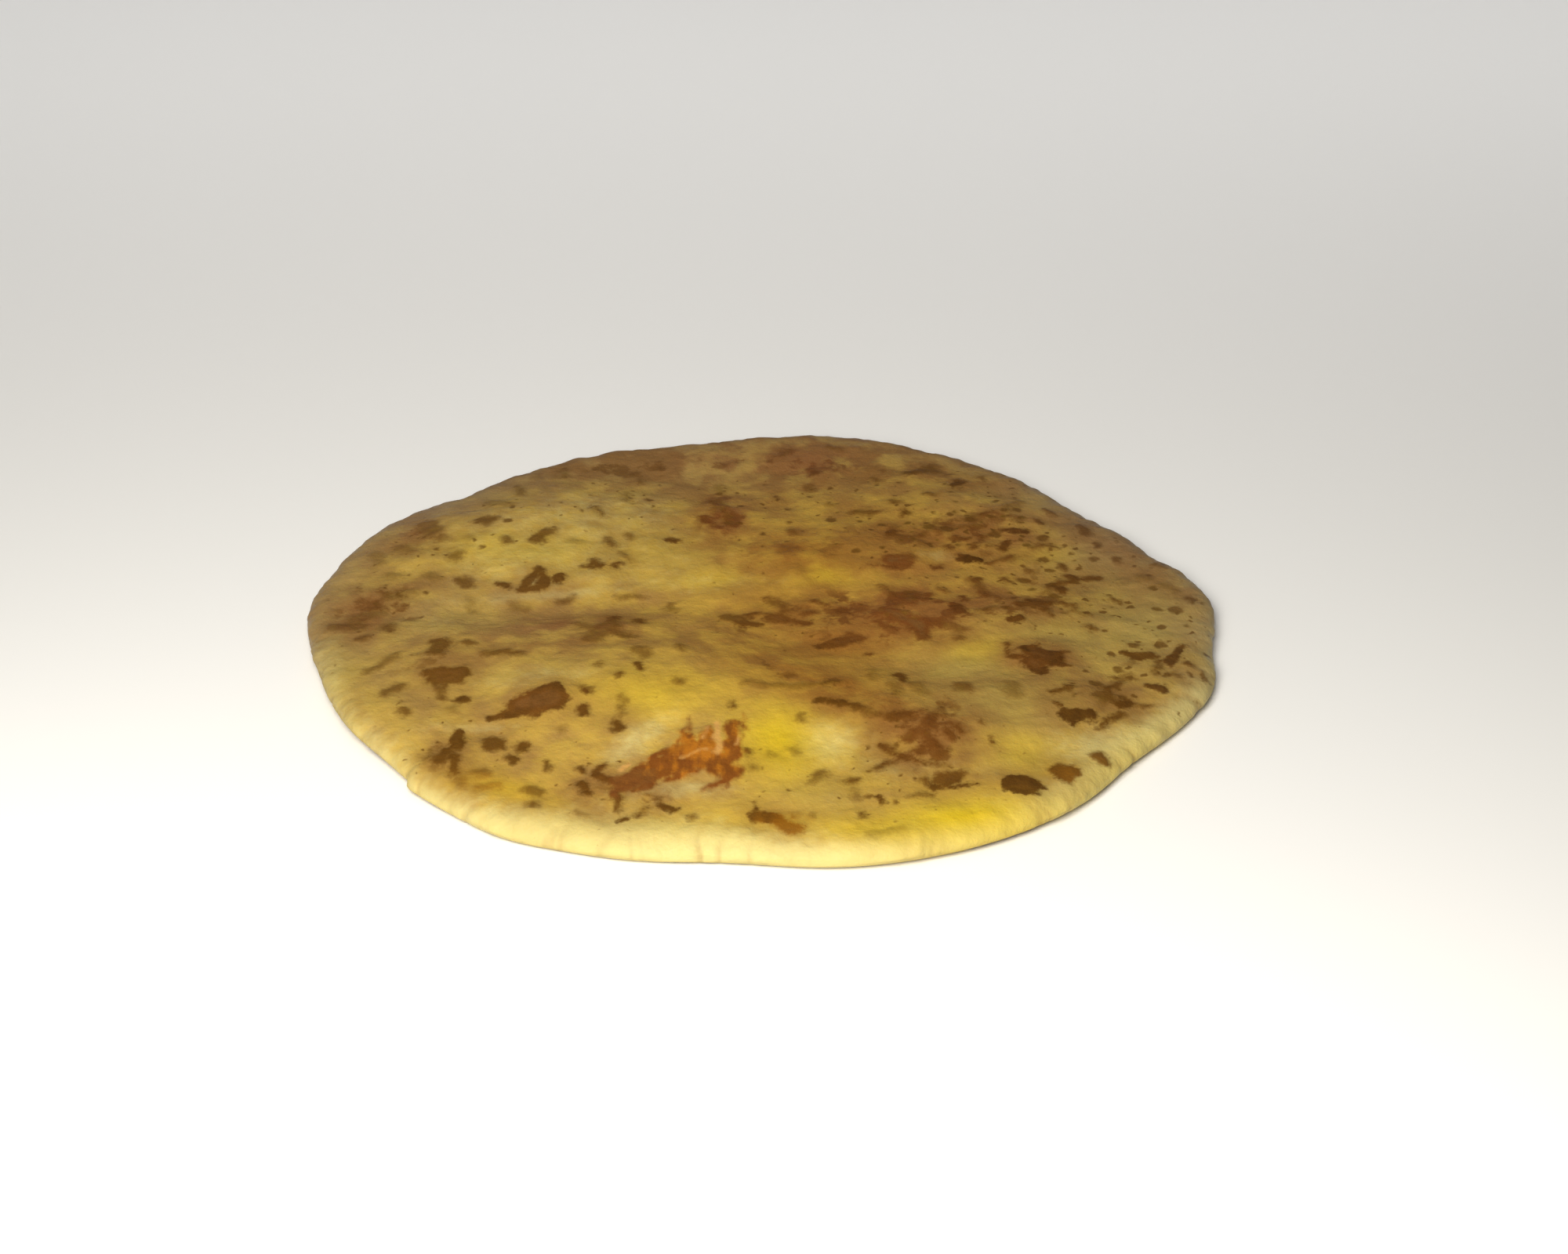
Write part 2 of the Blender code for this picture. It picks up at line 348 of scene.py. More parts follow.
MARKS_BACK_RIGHT = (
    (6.4, 76, 3.6, 72.6, 0.9, 0.7, 0.3), (15, 78, 17.4, 76.6, 1, 0.8, 0.3), (10, 66, 11.6, 64.4, 1, 1, 0.5),
    (31.4, 63.2, 35, 64.6, 1.4, 1.6, 0.35), (37, 67.4, 37.4, 64.4, 1.3, 1.2, 0.3),
    (41.2, 56, 43, 59, 1.2, 1, 0.6), (43, 59.4, 42, 60.4, 0.7, 0.6, 0.4),
    (51.4, 42.6, 54.6, 48.6, 1.2, 1.2, 0.1), (20, 43, 23.4, 43, 1.1, 1.2, 0.3),
    (29.8, 41.4, 30.6, 42.4, 0.9, 0.9, 0.35), (66.6, 37.4, 67.4, 34, 1, 1.2, 0.55),
    (49.6, 34.4, 52.4, 33.6, 0.3, 0.8, 0.6), (52.6, 33.4, 55.4, 33.8, 1.1, 0.7, 0.75),
    (41, 34.6, 45.4, 35, 0.9, 0.7, 0.2), (27.2, 33, 27, 31, 0.8, 0.8, 0.5),
    (40, 29.8, 42, 29, 1.1, 1.1, 0.45), (31.6, 29, 33, 26.6, 0.9, 0.8, 0.2),
    (36.4, 33, 37, 31.6, 0.8, 0.7, 0.3), (45.6, 30.6, 46.6, 31.4, 0.8, 0.7, 0.3),
    (49.6, 26.2, 50.8, 28, 1.2, 1, 0.55), (55.6, 26.4, 60.4, 27.4, 0.8, 0.7, 0.35),
    (46.6, 19.2, 49.6, 21.2, 0.5, 0.6, 0.3), (49.6, 21.2, 51.6, 22.4, 0.8, 0.7, 0.4),
    (22.4, 17, 30.4, 16.8, 0.3, 0.8, 0.55), (26.4, 18.8, 30, 20.4, 1.8, 1.6, 0.4),
    (28, 18, 30.2, 18, 1.4, 1.4, 0.45), (35.4, 17.6, 36.6, 17.8, 1.1, 1.1, 0.45),
    (41.2, 21, 44.2, 20, 1.2, 1.2, 0.9), (41.4, 22, 40.4, 22.8, 0.8, 0.4, 0.6),
    (61.4, 19.4, 61.8, 18.6, 1, 0.9, 0.4), (62.4, 14.6, 68, 14.8, 1.1, 1, 0.45),
    (62.8, 13.6, 59.2, 11.2, 0.9, 0.6, 0.35), (59, 10.6, 57, 6.6, 0.7, 0.6, 0.3),
    (60.2, 8.8, 60.8, 7.4, 1, 1.1, 0.5), (77, 14.2, 78, 13.6, 1.2, 1, 0.1),
    (81.4, 10.6, 82.8, 9, 1.3, 1.1, 0.15), (43, 12, 44.2, 6.4, 1.3, 1.3, 0.3),
    (45, 5.6, 45.8, 4.2, 1, 0.9, 0.4), (40, 4, 40.6, 2.4, 0.8, 0.8, 0.5),
    (16.4, -0.4, 17.2, -2, 1.2, 1, 0.45), (30.4, 5.6, 29, 1, 1.8, 2, 0.35),
    (26, 5.4, 26.6, 3.6, 1.2, 1, 0.3), (33.4, 4.6, 33, 2.4, 0.9, 0.8, 0.45),
    (26, 1.4, 27.4, -0.6, 1.4, 1.2, 0.4), (1.6, 5.4, 4.6, 0.6, 0.8, 1.2, 0.3),
    (2.4, -3.4, 4.8, -4.4, 1.6, 1.4, 0.4), (6.8, -5, 9.6, -6.2, 1.2, 1, 0.5),
    (8.6, -2, 10.6, -1.4, 0.8, 0.6, 0.4), (4.4, -1.4, 6.4, -0.8, 0.8, 0.6, 0.35),
    (43.4, 25.4, 44.2, 26.4, 0.8, 0.7, 0.5), (38.4, 26, 39, 25, 0.7, 0.6, 0.4),
    (33, 30.4, 33.6, 32, 0.7, 0.6, 0.4), (46.4, 40.6, 48.6, 41.4, 0.8, 0.7, 0.4),
    (57.4, 38.6, 58.4, 37, 0.7, 0.6, 0.4), (60.4, 44, 61.4, 42, 0.8, 0.6, 0.4),
    (27.4, 48.6, 28.4, 47, 0.8, 0.6, 0.3), (35, 51.4, 36.4, 50.6, 0.8, 0.6, 0.3),
    (14, 48, 15.4, 47, 0.8, 0.6, 0.25), (24, 61.4, 25, 59.6, 0.8, 0.7, 0.3),
    (10, 58, 10.6, 56, 0.6, 0.6, 0.3), (47, 62, 48, 60, 0.8, 0.6, 0.35),
    (69, 29.4, 69.6, 28, 0.7, 0.6, 0.5), (72.4, 23, 73.4, 22, 0.7, 0.6, 0.4),
    (54, 17, 55.4, 16, 0.8, 0.7, 0.4), (49, 13, 50, 11.4, 0.9, 0.8, 0.4), (70.4, 5, 71.6, 4, 0.8, 0.7, 0.4),
    (36, 8, 37.4, 6.6, 0.9, 0.7, 0.35), (24, 9, 25.4, 7.4, 0.9, 0.8, 0.3), (11, 3, 13, 1.6, 0.9, 0.7, 0.35),
    (60.6, 1.6, 62.6, 0.4, 0.8, 0.7, 0.4), (80.6, 20, 81.4, 18.4, 0.9, 0.7, 0.3),
    (85.4, 6, 85.6, 3.6, 0.7, 0.6, 0.4), (6, 34, 7, 31.4, 0.7, 0.6, 0.3),
)
MARKS_FRONT_LEFT = (
    (-84, -6.6, -79, -6.4, 1.4, 1.9, 0.25), (-79.4, -3, -76, 0, 2.2, 1.8, 0.15),
    (-73, -6.8, -72.2, -9.8, 1.1, 1.2, 0.35), (-77.4, -12, -77, -11, 0.9, 0.9, 0.35),
    (-63.4, -15.6, -61, -16.2, 1, 1.1, 0.45), (-61.4, -17, -62, -20.4, 2.3, 1.9, 0.4),
    (-56.4, -16.8, -55.8, -17.2, 1.1, 1.1, 0.35), (-74.6, -26, -70.8, -21.4, 1.2, 1.2, 0.25),
    (-70.2, -20.6, -69.6, -19.6, 0.8, 0.6, 0.2), (-62.8, -28.2, -56.8, -28.8, 1.7, 2.2, 0.5),
    (-61.2, -29.6, -57.4, -30.6, 2.2, 2.2, 0.45), (-59.8, -32.4, -59.4, -36.4, 1.2, 0.8, 0.35),
    (-55.4, -37.2, -54.8, -37.8, 1.4, 1.3, 0.6), (-57.4, -40.8, -57, -41.4, 0.8, 0.7, 0.05),
    (-70, -34.2, -67.8, -31.8, 1.5, 1.3, 0.3), (-66.2, -41, -65.6, -41.6, 1.2, 1, 0.35),
    (-49.2, -44.2, -44, -42.6, 1, 2, 0.65), (-43.6, -41, -39, -40, 3.2, 3.6, 0.55),
    (-42.4, -38.4, -38.4, -35, 1.6, 0.9, 0.65), (-41, -43.8, -37.6, -42.4, 1.3, 1.2, 0.6),
    (-38.2, -35, -36.2, -39.6, 0.8, 1, 0.65), (-32.4, -36.4, -32.2, -37.4, 1.1, 1.1, 0.5),
    (-32.6, -42.8, -32.2, -44, 1.5, 1.4, 0.5), (-26.4, -32.2, -26, -33.6, 0.8, 0.7, 0.4),
    (-30.6, -27.4, -30.2, -28.8, 0.8, 0.7, 0.3), (-23, -28, -22.4, -29.8, 0.9, 0.9, 0.5),
    (-25.4, -39.4, -25.2, -44.4, 0.6, 0.7, 0.3), (-26.2, -47.4, -25.8, -49.4, 1.2, 1.1, 0.5),
    (-15.2, -34.6, -15, -35.6, 0.7, 0.6, 0.3), (-15.2, -20.4, -14.8, -21.6, 0.8, 0.8, 0.3),
    (-5, -42, -4.6, -43.2, 0.6, 0.6, 0.4), (-23, -21.6, -22, -24, 1.5, 1.4, 0.25),
    (-32.4, -16, -29.6, -10.4, 1.8, 2.6, 0.25), (-28.8, -3.8, -28.4, -6.2, 1.2, 1.2, 0.45),
    (-28.8, -6, -29.4, -9.6, 0.9, 1.8, 0.3), (-23.8, -5.6, -23.4, -7.4, 1.1, 1.1, 0.4),
    (-35.8, -7, -32.4, -11.4, 1.1, 1.4, 0.2), (-28.4, -12.6, -24.8, -15.2, 1.3, 0.9, 0.3),
    (-52.4, -21.6, -46, -21.8, 1, 1, 0.35), (-48.6, -52, -48, -53.2, 2.1, 2.1, 0.45),
    (-43.2, -53.6, -42.8, -54.2, 1.7, 1.7, 0.5), (-44.8, -57.8, -43.8, -58.8, 1, 0.9, 0.45),
    (-38.2, -59.4, -37.8, -61.4, 0.7, 0.7, 0.4), (-36, -48.4, -35.6, -49.4, 0.6, 0.6, 0.2),
    (-55.2, -48.2, -55, -53.4, 1.1, 1.4, 0.6), (-56.4, -55, -57.6, -58, 1.2, 1.2, 0.45),
    (-55.4, -56.6, -54.6, -61.8, 1.1, 1.1, 0.5), (-59.8, -54, -60, -58.4, 0.4, 0.4, 0.1),
    (-50.6, -62.2, -49, -63, 1.3, 1.1, 0.2), (-53.6, -64.6, -52.8, -66, 1.2, 1, 0.2),
    (-49.6, -67, -46.6, -66.8, 1.2, 1, 0.2), (-41, -68.2, -39, -69.2, 1.1, 1.1, 0.3),
    (-39.8, -73.2, -39.2, -73.6, 1.2, 1, 0.35), (-27.8, -61, -28.8, -63, 0.9, 0.8, 0.55),
    (-29, -64.4, -26.2, -66.6, 1, 0.9, 0.55), (-31.4, -67, -30.2, -70.4, 0.9, 0.8, 0.6),
    (-32.2, -61.6, -31.6, -62.4, 0.6, 0.5, 0.5), (-17, -73.8, -14.8, -74.6, 0.7, 0.8, 0.6),
    (-24.2, -78.2, -22.8, -78, 0.6, 0.7, 0.65), (-21, -76.6, -19.6, -74.6, 0.7, 0.6, 0.4),
    (-24.8, -71.6, -24.4, -75.6, 0.9, 0.6, 0.5), (-11.4, -77.2, -11.2, -78, 0.5, 0.5, 0.4),
    (-31.4, -75.4, -29.8, -77, 0.4, 0.4, 0.3), (-19.6, -71, -17.4, -72, 0.5, 0.4, 0.4),
    (-0.4, -72.4, -0.5, -77, 0.2, 0.8, 0.7), (0, -77.2, 3.6, -77.8, 1.4, 1.3, 0.65),
    (3.8, -79, 6.4, -81, 1.4, 1.9, 0.4),
)
MARKS_FRONT_RIGHT = (
    (9.6, -66.4, 11.4, -63.8, 0.7, 1.1, 0.3), (-2.2, -57.2, -1.8, -58.6, 0.6, 0.5, 0.4),
    (6, -56.4, 6.8, -57.2, 0.7, 0.6, 0.15), (-1.2, -61.4, -0.6, -62.2, 0.6, 0.5, 0.25),
    (2, -57.4, 2.6, -58.2, 0.4, 0.4, 0.1), (16, -66.4, 17, -66, 1, 1, 0.4),
    (17.2, -69, 17.6, -71, 0.5, 0.4, 0.2), (21.6, -71, 22, -72.8, 0.6, 0.7, 0.6),
    (18.6, -76.4, 18.6, -77.4, 0.5, 0.6, 0.4), (6.6, -76.6, 6.4, -77.8, 0.4, 0.4, 0.3),
    (9.4, -77, 9.6, -77.8, 0.4, 0.4, 0.2), (19.6, -83, 25.4, -81.6, 0.7, 0.6, 0.05),
    (7.6, -46.4, 7.8, -47.6, 0.5, 0.5, 0.3), (-2, -35.8, 8, -36.6, 0.8, 0.9, 0.15),
    (8, -36.4, 15, -34.4, 0.9, 0.7, 0.15), (11.4, -41.8, 15, -43.4, 0.9, 0.9, 0.55),
    (15.4, -42.6, 18.4, -44.8, 1.1, 0.9, 0.5), (18.6, -45, 22.6, -47, 0.8, 1, 0.3),
    (24.2, -47.6, 27.6, -46.4, 1.4, 1.5, 0.5), (22.4, -55.4, 25.4, -58.2, 0.6, 0.8, 0.5),
    (25.8, -58.6, 29.6, -60.4, 0.9, 0.6, 0.5), (28.8, -57.6, 31.8, -56, 0.8, 0.7, 0.55),
    (24.2, -60.4, 21, -62.8, 0.6, 0.5, 0.4), (30, -60.2, 33.4, -61.6, 0.7, 0.6, 0.35),
    (32.6, -58.6, 34.6, -56.4, 0.6, 0.5, 0.3), (27, -54.4, 28.4, -52.2, 0.7, 0.6, 0.35),
    (30.4, -52.6, 31.8, -54.8, 0.6, 0.5, 0.3), (30.8, -49.4, 32.6, -46, 1.3, 1.3, 0.4),
    (33.6, -44.2, 34.6, -46.6, 0.6, 0.6, 0.3), (36.4, -49.6, 37.6, -51.2, 0.9, 0.9, 0.45),
    (34, -50.4, 35.4, -53.6, 1, 0.9, 0.45), (29.6, -65.6, 30.4, -66.6, 0.9, 0.7, 0.4),
    (33, -65.6, 36.4, -63.6, 1.6, 1.3, 0.45), (31, -67.6, 35.6, -68, 0.8, 0.8, 0.55),
    (36.6, -67.2, 39.4, -67, 0.7, 0.6, 0.6), (27.4, -71, 30.4, -70.4, 0.7, 0.8, 0.3),
    (41, -46.6, 41.2, -48.4, 0.5, 0.5, 0.4), (42.4, -53, 42.6, -53.8, 0.6, 0.6, 0.45),
    (29.4, -33.4, 30.6, -37.6, 1.1, 1.1, 0.1), (25.4, -34.6, 26, -38.4, 0.8, 0.9, 0.2),
    (38, -33.4, 38.4, -35.4, 1.3, 1.3, 0.3), (47.2, -33.4, 48, -37, 1.9, 1.4, 0.15),
    (26.6, -28.8, 27.2, -31.6, 1.4, 1.3, 0.5), (21.6, -27.4, 21.4, -32.6, 0.7, 0.7, 0.15),
    (52.2, -19.6, 55.4, -22.4, 2.2, 2.6, 0.7), (52.4, -24, 54, -27.4, 2.2, 1.4, 0.7),
    (53.4, -18.4, 54, -16.8, 0.9, 0.5, 0.7), (56.6, -20.4, 58.8, -19.8, 1.2, 0.8, 0.65),
    (57, -24, 58.6, -24.6, 1.1, 0.7, 0.6), (47.8, -16.4, 48, -21.4, 0.5, 0.6, 0.5),
    (48.4, -21.4, 50.4, -22.4, 0.6, 0.9, 0.6), (55, -35.8, 58, -34.4, 0.8, 0.9, 0.55),
    (58.4, -33.6, 58.2, -34.8, 0.8, 0.8, 0.5), (65.4, -33.4, 67.6, -30.4, 1.1, 0.9, 0.4),
    (67.6, -38.6, 69.6, -37, 1.2, 1.2, 0.65), (74, -31, 76.6, -32, 0.9, 1, 0.65),
    (71, -37.6, 73.4, -37.4, 0.5, 0.4, 0.4), (62.8, -46.6, 67.4, -41.6, 0.6, 1, 0.45),
    (57.4, -43.6, 61.6, -43, 1.8, 1.6, 0.85), (56.4, -41.4, 58.4, -45.4, 0.9, 0.9, 0.7),
    (54.8, -40.2, 56, -41.2, 0.6, 0.8, 0.5), (64, -38, 66.4, -35.6, 0.9, 0.8, 0.15),
    (70.8, -18.8, 75.8, -19.2, 1.3, 1.4, 0.6), (78.8, -21, 82, -14.6, 1.1, 1.3, 0.7),
    (76.6, -21.4, 75.8, -26, 0.8, 0.6, 0.35), (82, -21.2, 82.8, -22.2, 0.7, 0.6, 0.45),
    (79, -25.6, 80, -26.4, 0.8, 0.7, 0.3), (84.6, -24, 85.2, -25.6, 0.7, 0.6, 0.45),
    (46.6, -67, 47.8, -67.2, 3, 3, 0.72), (44.4, -67, 50.6, -67.6, 1, 0.9, 0.7),
    (54.4, -61.2, 56.2, -61.8, 2.1, 2, 0.6), (55, -63.4, 55.8, -64, 1.9, 1.6, 0.55),
    (62.2, -56, 62.8, -57, 1.6, 1.4, 0.45), (11.6, -15.6, 15.6, -14.4, 1.2, 1.9, 0.6),
    (15.6, -14.6, 18.6, -12.8, 1.5, 1.7, 0.5), (17.6, -11.4, 20, -12.8, 1.2, 0.8, 0.4),
    (12.2, -13, 13.4, -11.8, 0.7, 0.6, 0.4), (20.8, -18.6, 21.4, -19, 0.8, 0.8, 0.5),
    (22.6, -7, 23.4, -7.4, 1, 0.9, 0.4), (-6.4, -3, -4.4, -4.2, 1.7, 2, 0.3),
    (-3.6, -5.4, -0.8, -6.8, 1.5, 1.1, 0.45), (-2.6, -2, -0.8, -1.6, 1, 0.7, 0.4),
    (25, -3, 29, -6.6, 2, 2.2, 0.3), (29.6, -7, 31.4, -9.6, 2.2, 2.4, 0.4),
    (24, -8, 26, -10.4, 1.2, 0.9, 0.3), (31, -9, 31.8, -14, 2.8, 1.3, 0.45),
    (30.4, -11, 32.6, -11.6, 1.2, 1.2, 0.5), (35, -9, 40, -12, 1.4, 1, 0.25),
    (38.6, -0.8, 39.4, -4.6, 1.3, 1.3, 0.65), (51.6, -0.6, 57, 0.8, 1.5, 1.4, 0.45),
    (53, 2, 54.4, 2.4, 1.1, 0.9, 0.5), (56, -2.4, 57.6, -4, 1, 0.8, 0.4),
    (49.4, -7.4, 51, -7, 1.5, 1.4, 0.7), (44, -3.6, 46, -2.6, 1.1, 1, 0.15),
    (64.4, -8, 65, -8.6, 0.9, 0.8, 0.35), (38.4, -14.6, 39.2, -13.6, 0.9, 0.8, 0.3),
    (62, -1, 64.6, -3, 0.5, 0.5, 0.2),
)
# The one place where butter fried the dough to orange and red-brown, with paler streaks left in it.
BUTTERED = (
    (-13.4, -52, -12.4, -58, 1.3, 3, 0.15), (-4.4, -48.6, -4.8, -58, 1, 2.6, 0.45),
    (-9.4, -50.6, -9, -59, 0.9, 2.8, 0.2), (-12.6, -47.6, -12.8, -53, 0.4, 0.9, 0.9),
    (-2.6, -45.4, -2.6, -50.4, 0.3, 0.7, 0.6), (-7, -60.4, -5.2, -63.6, 3.2, 2.9, 0.68),
    (-10, -60.4, -17.6, -61.8, 3, 3.2, 0.5), (-17.4, -62, -23.6, -67.2, 3.4, 2.7, 0.85),
    (-19.6, -59, -14.4, -57, 0.8, 2, 0.4), (-24, -67, -25, -71.6, 1.8, 0.8, 0.85),
    (-4.6, -65, -9.8, -69.4, 1.5, 0.6, 0.7), (-12, -63.4, -16, -66, 1.6, 1.2, 0.7),
    (-19, -67, -21.4, -70, 1.4, 0.8, 0.8),
)
STREAKS = (
    (-7.4, -48.6, -7.2, -57.6, 0.6, 0.8, 0), (-9.8, -50.4, -9.6, -54, 0.1, 0.2, 0),
    (-13.8, -59.4, -9, -57.4, 0.1, 0.3, 0), (-3.6, -52, -3.4, -55.4, 0.1, 0.2, 0),
    (-23.4, -60.6, -25, -62.8, 0.6, 0.5, 0),
)
MARK_SWELL = 0.05  # mm by which each mark is wider than its strokes
FAR_OUTSIDE = -6.0
DARKNESS_REACH = 0.8
HAZE_REACH = 3.6
HAZE_LEAST = 0.20
HAZE_IF_DARK = 0.30
RAGGED_ALONG_X = ((0.22, 5.0, 11), (0.07, 2.2, 12))  # height and length in mm, seed
RAGGED_ALONG_Y = ((0.22, 5.0, 13), (0.07, 2.2, 14))
WAVE_COUNT = 24

# Broad tints of the dough: x, y, half length, half depth, turn in degrees, strength.
# Yellow zones are partly the turmeric and partly painted light: the bands along the front rim and the front
# slopes of the puffs.
YELLOW_AND_LIT_ZONES = (
    (4, -54, 8, 11, 0, 1), (13, 14, 7, 5, 0, 0.45), (36, -77, 17, 6, 14, 1), (-50, 25, 24, 9, 0, 0.35),
    (-20, -38, 14, 9, -10, 0.55), (42, -18, 8, 5, 0, 0.4), (48, -57, 7, 8, 0, 0.4),
    (-46, -67, 14, 4, -28, 0.5), (-48, 22, 20, 8, 0, 0.2), (-10, 13, 9, 4, 0, 0.3), (56, 24, 9, 4, 20, 0.3),
    (22, -82, 9, 3, 0, 0.5), (-4, -79, 30, 4, -2, 0.4), (66, -57, 24, 5, 50, 0.35),
    (-80, -28, 18, 5, -72, 0.25), (20, -62, 16, 8, 0, 0.25),
)
RAW_ZONES = (
    (44, -38, 16, 13, 0, 0.9), (76, -6, 14, 22, 0, 0.9), (-84, -16, 8, 22, 0, 0.8),
    (38, -23, 11, 9, 0, 0.85), (-62, -2, 12, 10, 0, 0.4), (58, -16, 14, 14, 0, 0.8),
    (-18, 24, 14, 14, 0, 0.4), (-26, 42, 12, 14, 0, 0.15), (60, 52, 14, 14, 0, 0.4),
    (-56, 60, 14, 10, 40, 0.5), (12, -69, 10, 8, 0, 0.5), (-40, -29, 20, 7, 6, 0.45),
    (70, 20, 14, 12, 0, 0.8), (-66, -30, 16, 22, 20, 0.35), (50, -58, 10, 7, 0, 0.5),
)
# Toasted brown clouds, and painted shade: the broad zones over the back third and in the hollow behind the
# front hump darken the dough where less light falls.
BROWN_AND_SHADE_ZONES = (
    (-22, 74, 38, 13, 8, 0.95), (10, 72, 18, 12, 0, 0.8), (40, 70, 22, 12, -30, 0.7),
    (-38, -8, 18, 11, 0, 0.75), (-77, 2, 8, 12, 0, 0.6), (27, 0, 22, 13, -10, 0.75),
    (38, 32, 25, 10, 6, 0.75), (-8, 40, 8, 18, 0, 0.65), (31, -52, 11, 14, 0, 0.75),
    (18, -40, 13, 7, -30, 0.7), (55, -22, 9, 9, 0, 0.45), (-72, 32, 9, 13, 0, 0.6), (66, -34, 9, 9, 0, 0.5),
    (8, -31, 22, 6, -32, 0.6), (-26, -71, 15, 8, 16, 0.5), (-56, -55, 7, 10, 0, 0.35),
    (2, -14, 20, 9, 0, 0.58), (4, -28, 14, 10, -20, 0.5), (31, -20, 10, 6, 0, 0.35),
    (6, 48, 26, 14, 0, 0.25), (8, 24, 12, 9, 0, 0.7), (-60, -28, 10, 12, 0, 0.35), (50, 4, 14, 9, 0, 0.5),
    (-28, 62, 18, 8, 0, 0.4), (-72, 10, 10, 5, 0, 0.4), (5, 96, 110, 36, 0, 0.85),
    (78, 22, 12, 20, 20, 0.6), (-4, 82, 30, 9, 0, 0.8), (2, 22, 11, 8, 0, 0.75), (-80, 0, 9, 14, 0, 0.6),
    (-44, -20, 16, 7, 0, 0.6), (20, 32, 30, 18, 10, 0.25), (18, 66, 40, 12, 0, 0.5),
    (62, 8, 22, 22, 0, 0.12), (44, -36, 12, 10, 0, 0.35), (14, 13, 9, 7, 0, 0.4),
)
RED_ZONES = (
    (28, -4, 15, 12, 0, 1), (11, 71, 11, 9, 0, 0.9), (-8, 40, 7, 14, 0, 1), (-78, 0, 8, 9, 0, 0.45),
    (-40, -7, 12, 8, 0, 0.5), (27, 18, 6, 4, 0, 0.6), (52, 44, 7, 9, 0, 0.6), (-74, 33, 5, 8, 0, 0.5),
    (-22, -64, 8, 6, 0, 0.5), (-41, -40, 8, 6, 0, 0.6), (54, -23, 6, 6, 0, 0.5), (44, 32, 12, 5, 0, 0.5),
    (-8, 72, 14, 8, 0, 0.5), (31, -52, 9, 11, 0, 0.6), (-60, -28, 5, 5, 0, 0.1), (24, 10, 38, 32, 0, 0.55),
    (-44, -7, 9, 8, 0, 0.5),
)
AMBER_ZONES = (
    (3, -79, 6, 4, 0, 0.5), (55, -62, 4, 4, 0, 0.5), (7, 22, 11, 8, 0, 0.7), (-48, -66, 9, 4, -25, 0.5),
    (0, 4, 10, 6, 0, 0.4), (-10, 30, 8, 6, 0, 0.3), (18, 22, 38, 32, 10, 0.65),
    (12, -34, 22, 12, -25, 0.75), (3, 2, 14, 14, 0, 0.4), (14, -20, 26, 18, 0, 0.7),
    (22, -44, 8, 5, -30, 0.3),
)
# Where the marks themselves are amber.
AMBER_MARK_ZONES = (
    (5, -79.4, 7, 5, -20, 1), (55.6, -63, 5, 5, 0, 0.6), (62.4, -56.6, 4, 4, 0, 0.5),
    (-48, -66, 11, 7, -25, 0.7),
)
# Some pale zones are painted highlights: thin lines on ridge tops and bands along the lit front rim.
PALE_AND_HIGHLIGHT_ZONES = (
    (-22, -53, 4, 11, -34, 0.6), (11, -53, 7, 5, 0, 0.5), (-40, -31, 16, 4, 4, 0.35),
    (-44, 7, 14, 1.6, 8, 0.5), (36, 22, 5, 3, 0, 0.5), (-15, -69, 10, 3, 10, 0.5), (28, -62, 9, 4, 0, 0.5),
    (-8, 12, 14, 4, 0, 0.3), (62, -52, 8, 5, 30, 0.5), (-52, -47, 9, 2, 0, 0.4), (-45.7, 11.2, 1, 1, 0, 1),
    (-46, 24, 28, 18, 0, 0.5), (-32, 46, 18, 12, 0, 0.3), (-64, -8, 12, 8, 0, 0.2), (12, -56, 9, 8, 0, 0.4),
    (36, -79, 14, 4, 14, 0.35), (-24, -80, 26, 5, -8, 0.65), (75, -46, 17, 4, 57, 0.65),
    (59, -66, 12, 4, 41, 0.7), (-83, -22, 16, 3.5, -72, 0.35),
)
# Grey painted sheen at the back rim, and greyish painted shade in the hollow behind the front hump.
SHEEN_AND_SHADE_ZONES = (
    (-20, 64, 38, 11, 0, 0.3), (-60, -2, 22, 20, 0, 0.15), (-42, -7, 12, 11, 0, 0.12),
    (74, 30, 9, 14, 20, 0.5), (-68, 48, 9, 14, -40, 0.4),
)
# Where small flecks lie, and where the dough is mottled with ragged brown.
FLECK_ZONES = (
    (78, -2, 12, 26, 0, 0.9), (66, -30, 12, 12, 0, 0.8), (44, 36, 36, 28, 0, 0.85), (60, 4, 18, 16, 0, 0.7),
    (-20, 52, 36, 22, 0, 0.5), (30, -54, 14, 18, 0, 0.5), (-58, -50, 14, 16, 0, 0.5),
    (-60, 34, 20, 20, 0, 0.5), (-26, -66, 14, 12, 0, 0.6), (-74, 0, 10, 26, 0, 0.5),
    (0, -4, 30, 14, 0, 0.4), (10, -68, 18, 10, 0, 0.4),
)
MOTTLE_ZONES = (
    (25, -3, 19, 11, -12, 1), (52, -2, 9, 6, 0, 0.7), (42, 31, 20, 9, 0, 0.75), (31, -51, 9, 13, 0, 0.9),
    (35, 65, 10, 6, 0, 0.7), (-8, 41, 6, 13, 0, 0.85), (10, 70, 13, 8, 0, 0.8), (-28, 67, 26, 6, 8, 0.7),
    (-76, 2, 9, 10, 0, 0.85), (-32, -8, 11, 9, 0, 0.35), (-22, -71, 9, 6, 0, 0.6), (-57, -55, 5, 9, 0, 0.6),
    (66, -33, 9, 9, 0, 0.6), (8, 26, 11, 9, 0, 0.4), (10, -33, 18, 4, -32, 0.7), (-2, -5, 8, 6, 0, 0.8),
    (24, 46, 20, 8, 0, 0.3), (60, 10, 16, 12, 0, 0.45), (52, 46, 8, 8, 0, 0.5), (-70, 30, 8, 10, 0, 0.5),
    (76, -20, 8, 10, 0, 0.4), (-62, -24, 10, 12, 0, 0.4),
)


